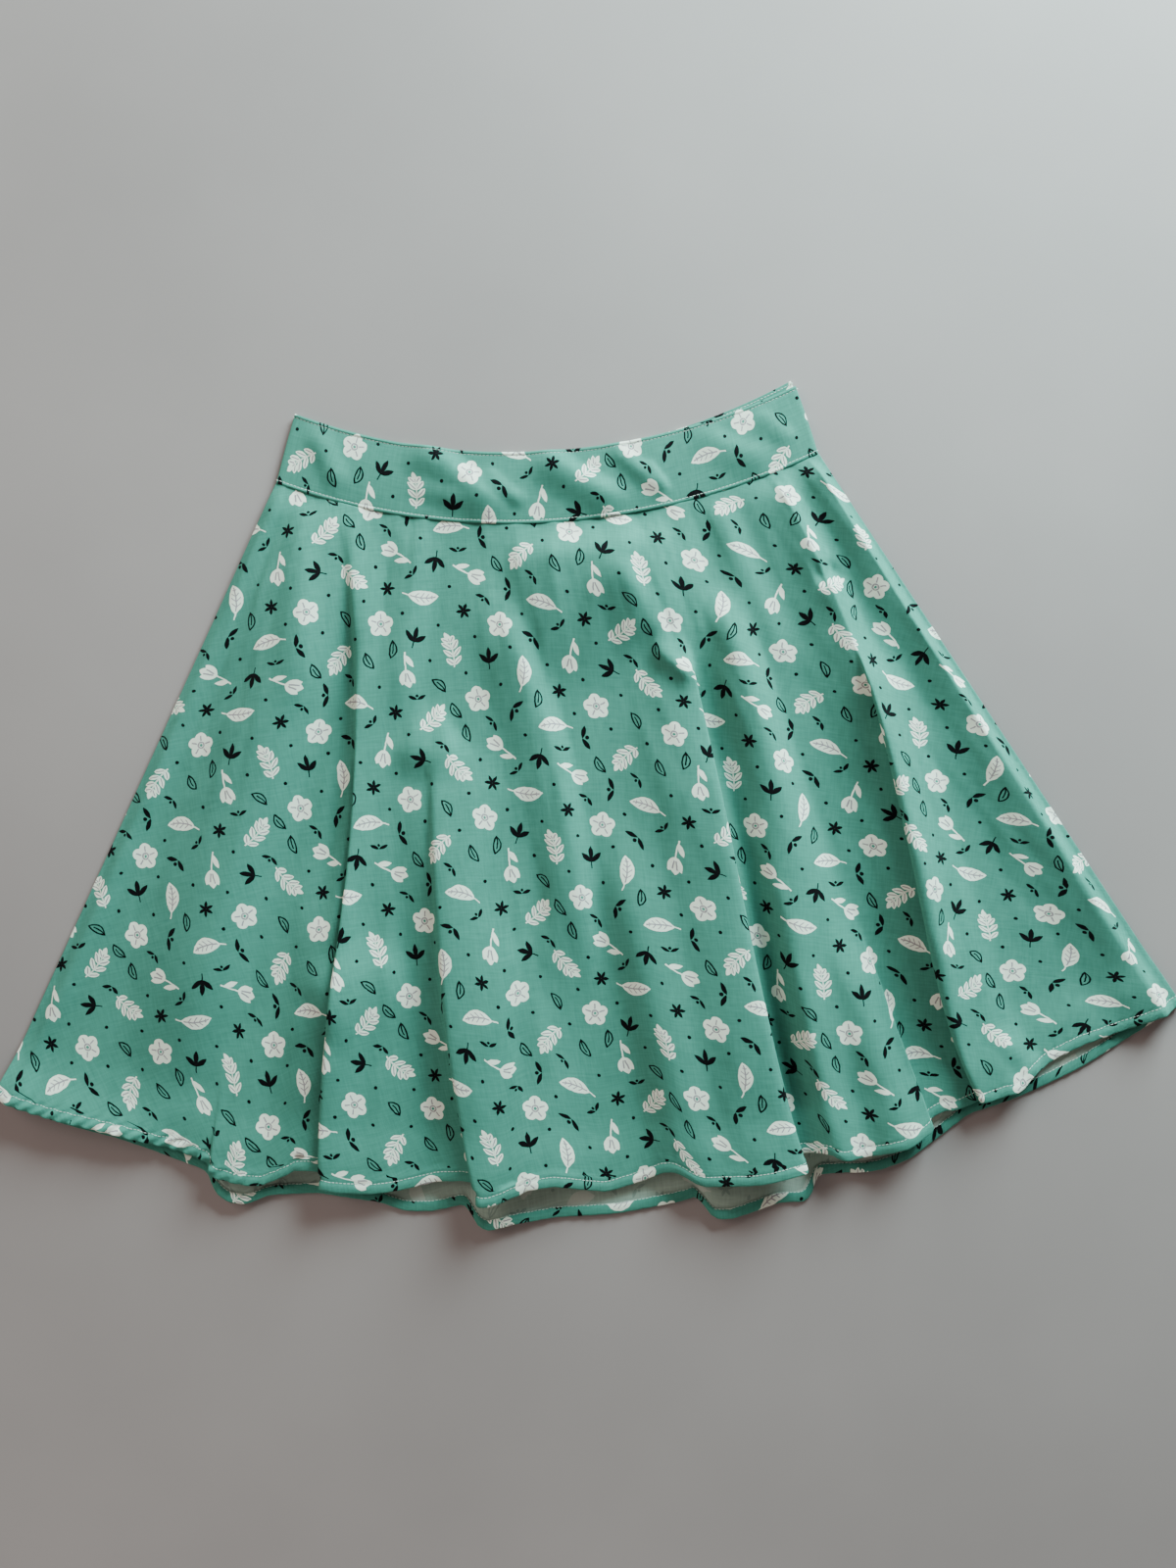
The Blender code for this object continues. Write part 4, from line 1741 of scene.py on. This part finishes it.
def cloud(tree: bpy.types.NodeTree, place: Socket, scale: float, detail: float = 2.0) -> Wire:
    """Return soft noise from 0 to 1."""
    inputs = {"Vector": place, "Scale": scale, "Detail": detail}
    return Wire(node(tree, "ShaderNodeTexNoise", inputs).outputs["Fac"])


@dataclass(frozen=True)
class Cotton:
    """Printed cotton, on its right side or its wrong side."""

    name: str
    ground: Colour
    pale: Colour
    brush: Colour
    dark: Colour
    ink: float                             # how strongly the print shows
    thread: float = 0.00046                # between two threads
    slub: float = 0.42                     # how much the threads differ in shade
    streak: tuple[float, float] = (60.0, 700.0)        # a slub's streaks in a metre, along and across
    patches: float = 9.0                   # slow changes of shade in a metre
    patch: float = 0.10                    # how much they change it
    fuzz: float = 130.0                    # fine unevenness in a metre
    heights: tuple[float, float, float] = (0.5, 0.8, 1.6)          # of the weave, the slubs and the fuzz
    relief_strength: float = 0.55
    relief_depth: float = 0.00022
    roughness: float = 0.85
    specular: float = 0.1
    sheen: float = 0.02
    sheen_roughness: float = 0.45

    def build(self, inks: bpy.types.NodeTree) -> Finish:
        """Make the material.

        Args:
            inks: the print's node group.

        Returns:
            The material, whose weave and print follow the cut.
        """
        material, tree, shader = new_finish(self.name)
        cut = node(tree, "ShaderNodeUVMap", uv_map=CUT_MAP).outputs["UV"]
        shares = node(tree, "ShaderNodeGroup", node_tree=inks)
        fill(shares, {"Cut": cut})
        split = node(tree, "ShaderNodeSeparateXYZ", {"Vector": cut})
        warp, weft = Wire(split.outputs["X"]), Wire(split.outputs["Y"])
        slubs = self.streaks(warp, weft, *self.streak) + self.streaks(warp, weft, *self.streak[::-1])
        shade = (slubs - 1.0) * self.slub + (cloud(tree, cut, self.patches) - 0.5) * self.patch + 1.0
        colour = self.shaded(shade, self.ground)
        for label, ink in (("Pale", self.pale), ("Brush", self.brush), ("Dark", self.dark)):
            colour = self.over(Wire(shares.outputs[label]) * self.ink, colour, ink)
        turn = 2.0 * math.pi / self.thread
        weave = (warp * turn).math("SINE") * (weft * turn).math("SINE")
        of_weave, of_slubs, of_fuzz = self.heights
        height = weave * of_weave + slubs * of_slubs + cloud(tree, cut, self.fuzz) * of_fuzz
        fill(shader, {
            "Base Color": colour, "Roughness": self.roughness, "Specular IOR Level": self.specular,
            "Sheen Weight": self.sheen, "Sheen Roughness": self.sheen_roughness,
            "Normal": relief(tree, height, self.relief_strength, self.relief_depth),
        })
        return material

    def streaks(self, warp: Wire, weft: Wire, along_warp: float, along_weft: float) -> Wire:
        """Return noise drawn out along one thread direction, from 0 to 1."""
        place = node(warp.tree, "ShaderNodeCombineXYZ", {"X": warp * along_warp, "Y": weft * along_weft})
        return cloud(warp.tree, place.outputs["Vector"], 1.0)

    def shaded(self, shade: Wire, colour: Colour) -> Socket:
        """Return a colour made lighter or darker."""
        inputs = {0: colour, "Scale": shade}
        return node(shade.tree, "ShaderNodeVectorMath", inputs, operation="SCALE").outputs["Vector"]

    def over(self, share: Wire, below: Socket, ink: Colour) -> Socket:
        """Return a colour with ink printed over it.

        Args:
            share: how much ink.
            below: the colour below it.
            ink: the ink's colour.

        Returns:
            The colour.
        """
        mix = node(share.tree, "ShaderNodeMix", {"Factor": share}, data_type="RGBA")
        first, second = (index for index, socket in enumerate(mix.inputs) if socket.type == "RGBA")
        fill(mix, {first: below, second: (*ink, 1.0)})
        return next(out for out in mix.outputs if out.type == "RGBA")


@dataclass(frozen=True)
class Thread:
    """Sewing thread: two plies twisted together, with painted shade in the grooves between them."""

    name: str
    colour: Colour
    ply: float = 0.0006                    # between two turns of the twist
    shade: float = 0.78                    # painted shade in the grooves between the plies, as a share of the thread's colour
    uneven: float = 2.0                    # how uneven the twist is
    relief_strength: float = 0.5
    relief_depth: float = 0.0001
    roughness: float = 0.6
    sheen: float = 0.3

    def build(self) -> Finish:
        """Make the material.

        Returns:
            The material.
        """
        material, tree, shader = new_finish(self.name)
        place = node(tree, "ShaderNodeTexCoord").outputs["Object"]
        inputs = {"Vector": place, "Scale": 1.0 / self.ply, "Distortion": self.uneven}
        twist = Wire(node(tree, "ShaderNodeTexWave", inputs).outputs["Fac"])
        fill(shader, {
            # The colour is darker where the twist's relief is low: painted shade in the grooves between the
            # plies
            "Base Color": two_tone(twist, tuple(self.shade * part for part in self.colour), self.colour),
            "Roughness": self.roughness, "Sheen Weight": self.sheen,
            "Normal": relief(tree, twist, self.relief_strength, self.relief_depth),
        })
        return material


@dataclass(frozen=True)
class PaleFloor:
    """A plain pale floor with a faint mottle."""

    name: str = "pale_floor"
    light: Colour = (0.332, 0.282, 0.282)
    dark: Colour = (0.283, 0.240, 0.241)
    ends: tuple[float, float] = (0.3, 0.7)     # where in the mottle the two colours begin
    mottle: float = 3.0                    # its changes in a metre
    detail: float = 5.0
    roughness: float = 0.7

    def build(self) -> Finish:
        """Make the material.

        Returns:
            The material.
        """
        material, tree, shader = new_finish(self.name)
        place = node(tree, "ShaderNodeTexCoord").outputs["Object"]
        mottle = cloud(tree, place, self.mottle, self.detail)
        colour = two_tone(mottle, self.dark, self.light, self.ends)
        fill(shader, {"Base Color": colour, "Roughness": self.roughness})
        return material


# ---- The skirt and its stage ----


@dataclass
class Skirt:
    """The whole skirt: two panels with their hems, the waistband and the stitches."""

    front: FrontPanel = field(default_factory=FrontPanel)
    back: BackPanel = field(default_factory=BackPanel)
    band_front: Waistband = field(default_factory=lambda: Waistband("front_band", True))
    band_back: Waistband = field(
        default_factory=lambda: Waistband("back_band", False, cut_place=(-2.3, 0.9))
    )
    stitches: StitchTree = field(default_factory=StitchTree)
    panel_cut: tuple[float, float] = (1.103, 0.596)
    panel_area: float = 0.425
    band_cut: tuple[float, float] = (0.44, 0.075)
    band_area: float = 0.0225

    def dress(self) -> None:
        """Make the finishes, build every piece and fix it to the frame."""
        inks = BotanicalPrint().build()
        right_side = Cotton(
            "printed_cotton", ground=(0.066, 0.262, 0.204), pale=(0.87, 0.92, 0.81),
            brush=(0.34, 0.31, 0.33), dark=(0.001, 0.001, 0.002), ink=1.0,
        ).build(inks)
        wrong_side = Cotton(
            "cotton_wrong_side", ground=(0.340, 0.440, 0.380), pale=(0.60, 0.62, 0.56),
            brush=(0.48, 0.52, 0.48), dark=(0.16, 0.22, 0.20), ink=0.55,
        ).build(inks)
        finishes = (right_side, wrong_side)
        thread = Thread("pale_thread", (0.68, 0.81, 0.74)).build()
        self.panel(self.back, "skirt_back", "hem_back", INNER_SLOT, finishes, thread, [])
        self.panel(self.front, "skirt_front", "hem_front", OUTER_SLOT, finishes, thread, ["back_cloth"])
        self.band(self.band_back, "waistband_back", INNER_SLOT, right_side, thread, [])
        self.band(self.band_front, "waistband_front", OUTER_SLOT, right_side, thread, ["back_band"])

    def panel(
        self, panel: Panel, target: str, hem_target: str, slot: str, finishes: tuple[Finish, Finish],
        thread: Finish, below: list[str],
    ) -> None:
        """Build a panel with its turned-up hem and the hem's stitches.

        Args:
            panel: the front or the back.
            target: the solid that it stands for.
            hem_target: the solid that its turned-up hem stands for.
            slot: the record's slot for the panel; not used.
            finishes: the cotton's right side and wrong side.
            thread: the thread's material.
            below: the pieces that it lies on; not used.
        """
        cloth = panel.cloth()
        piece = cloth.shell(panel.name, panel.wall, finishes)
        turning = panel.turning(cloth).shell(panel.name + "_turning", panel.turning_wall, finishes[:1])
        sides = (True,) if panel.outside_up else (True, False)
        paths = [panel.stitch_path(cloth, up) for up in sides]
        seam = self.stitches.sew(panel.name + "_hem_stitches", paths, thread)
        self.fix(piece, target)
        self.fix(turning, hem_target)
        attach(seam, "root")
        report(piece, turning, seam)

    def band(
        self, band: Waistband, target: str, slot: str, finish: Finish, thread: Finish, below: list[str],
    ) -> None:
        """Build one half of the waistband with its edge stitches.

        Args:
            band: the half.
            target: the solid that it stands for.
            slot: the record's slot for it; not used.
            finish: the cotton's right side.
            thread: the thread's material.
            below: the pieces that it lies on; not used.
        """
        cloth = band.cloth()
        piece = cloth.shell(band.name, band.thick, (finish,))
        soften(piece)
        sides = (True,) if band.front else (True, False)
        paths = [band.stitch_path(cloth, place, up) for place in (TOP_STITCH, SEAM_STITCH) for up in sides]
        seam = self.stitches.sew(band.name + "_stitches", paths, thread)
        self.fix(piece, target)
        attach(seam, "root")
        report(piece, seam)

    def fix(self, piece: bpy.types.Object, target: str) -> None:
        """Fix a piece of cloth to the body, in the place of its solid.

        Args:
            piece: the piece.
            target: the solid that it stands for.
        """
        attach(piece, "root")
        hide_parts(target)


def soften(piece: bpy.types.Object, width: float = 0.0004) -> None:
    """Round the folded edges of a thick piece of cloth.

    Args:
        piece: the piece.
        width: of the rounding.
    """
    bevel = piece.modifiers.new("folded_edges", "BEVEL")
    bevel.width = width
    bevel.segments = 2
    bevel.limit_method = "ANGLE"
    bevel.angle_limit = math.radians(50.0)


def report(*made: bpy.types.Object) -> None:
    """Log each finished piece and its size in triangles.

    Args:
        made: the pieces.
    """
    graph = bpy.context.evaluated_depsgraph_get()
    for piece in made:
        mesh = piece.evaluated_get(graph).to_mesh()
        mesh.calc_loop_triangles()
        LOG.info("%s: %d triangles", piece.name, len(mesh.loop_triangles))
        piece.evaluated_get(graph).to_mesh_clear()


@dataclass(frozen=True)
class Lamp:
    """A soft lamp that faces the skirt."""

    name: str
    place: tuple[float, float, float]
    size: tuple[float, float]
    colour: Colour
    watts: float

    def build(self) -> None:
        """Add the lamp."""
        lamp = bpy.data.lights.new(self.name, "AREA")
        lamp.shape = "RECTANGLE"
        lamp.size, lamp.size_y = self.size
        lamp.color = self.colour
        lamp.energy = self.watts
        stand = placed(self.name, lamp)
        stand.location = self.place
        stand.rotation_euler = (-Vector(self.place)).to_track_quat("-Z", "Y").to_euler()


@dataclass(frozen=True)
class Studio:
    """The floor, the lights and the camera straight above."""

    floor_size: float = 8.0
    eye: tuple[float, float, float] = (0.0, 0.0169, 0.885)
    seen_long_side: float = 1.176          # metres of floor along the picture's long side
    sensor: float = 36.0
    sky_colour: Colour = (1.0, 0.90, 0.82)
    sky_strength: float = 0.115
    lamps: tuple[Lamp, ...] = (
        Lamp("window", (0.88, 1.54, 0.58), (1.0, 0.7), (0.74, 1.0, 0.99), 146.0),
        Lamp("room", (-1.9, 1.0, 1.0), (1.5, 1.5), (1.0, 0.87, 0.77), 31.0),
        Lamp("wall", (-0.3, -1.6, 0.60), (1.6, 0.9), (1.0, 0.90, 0.80), 8.5),
    )

    def build(self) -> None:
        """Set up everything that isn't the skirt."""
        self.floor()
        for lamp in self.lamps:
            lamp.build()
        self.sky()
        self.camera()

    def floor(self) -> None:
        """Lay the floor."""
        half = self.floor_size / 2.0
        mesh = bpy.data.meshes.new("floor")
        corners = [(-half, -half, 0.0), (half, -half, 0.0), (half, half, 0.0), (-half, half, 0.0)]
        mesh.from_pydata(corners, [], [(0, 1, 2, 3)])
        mesh.materials.append(PaleFloor().build())
        placed("floor", mesh)

    def sky(self) -> None:
        """Light the room evenly."""
        world = bpy.data.worlds.new("room light")
        world.use_nodes = True
        inputs = {"Color": (*self.sky_colour, 1.0), "Strength": self.sky_strength}
        fill(world.node_tree.nodes["Background"], inputs)
        bpy.context.scene.world = world

    def camera(self) -> None:
        """Look straight down on the skirt."""
        lens = bpy.data.cameras.new("above")
        lens.sensor_width = self.sensor
        lens.lens = self.sensor * self.eye[2] / self.seen_long_side
        camera = placed("above", lens)
        camera.location = self.eye
        bpy.context.scene.camera = camera


def main() -> None:
    """Build the stage and the skirt."""
    logging.basicConfig(level=logging.INFO, format="%(name)s: %(message)s")
    Studio().build()
    Skirt().dress()


if __name__ == "__main__":
    main()
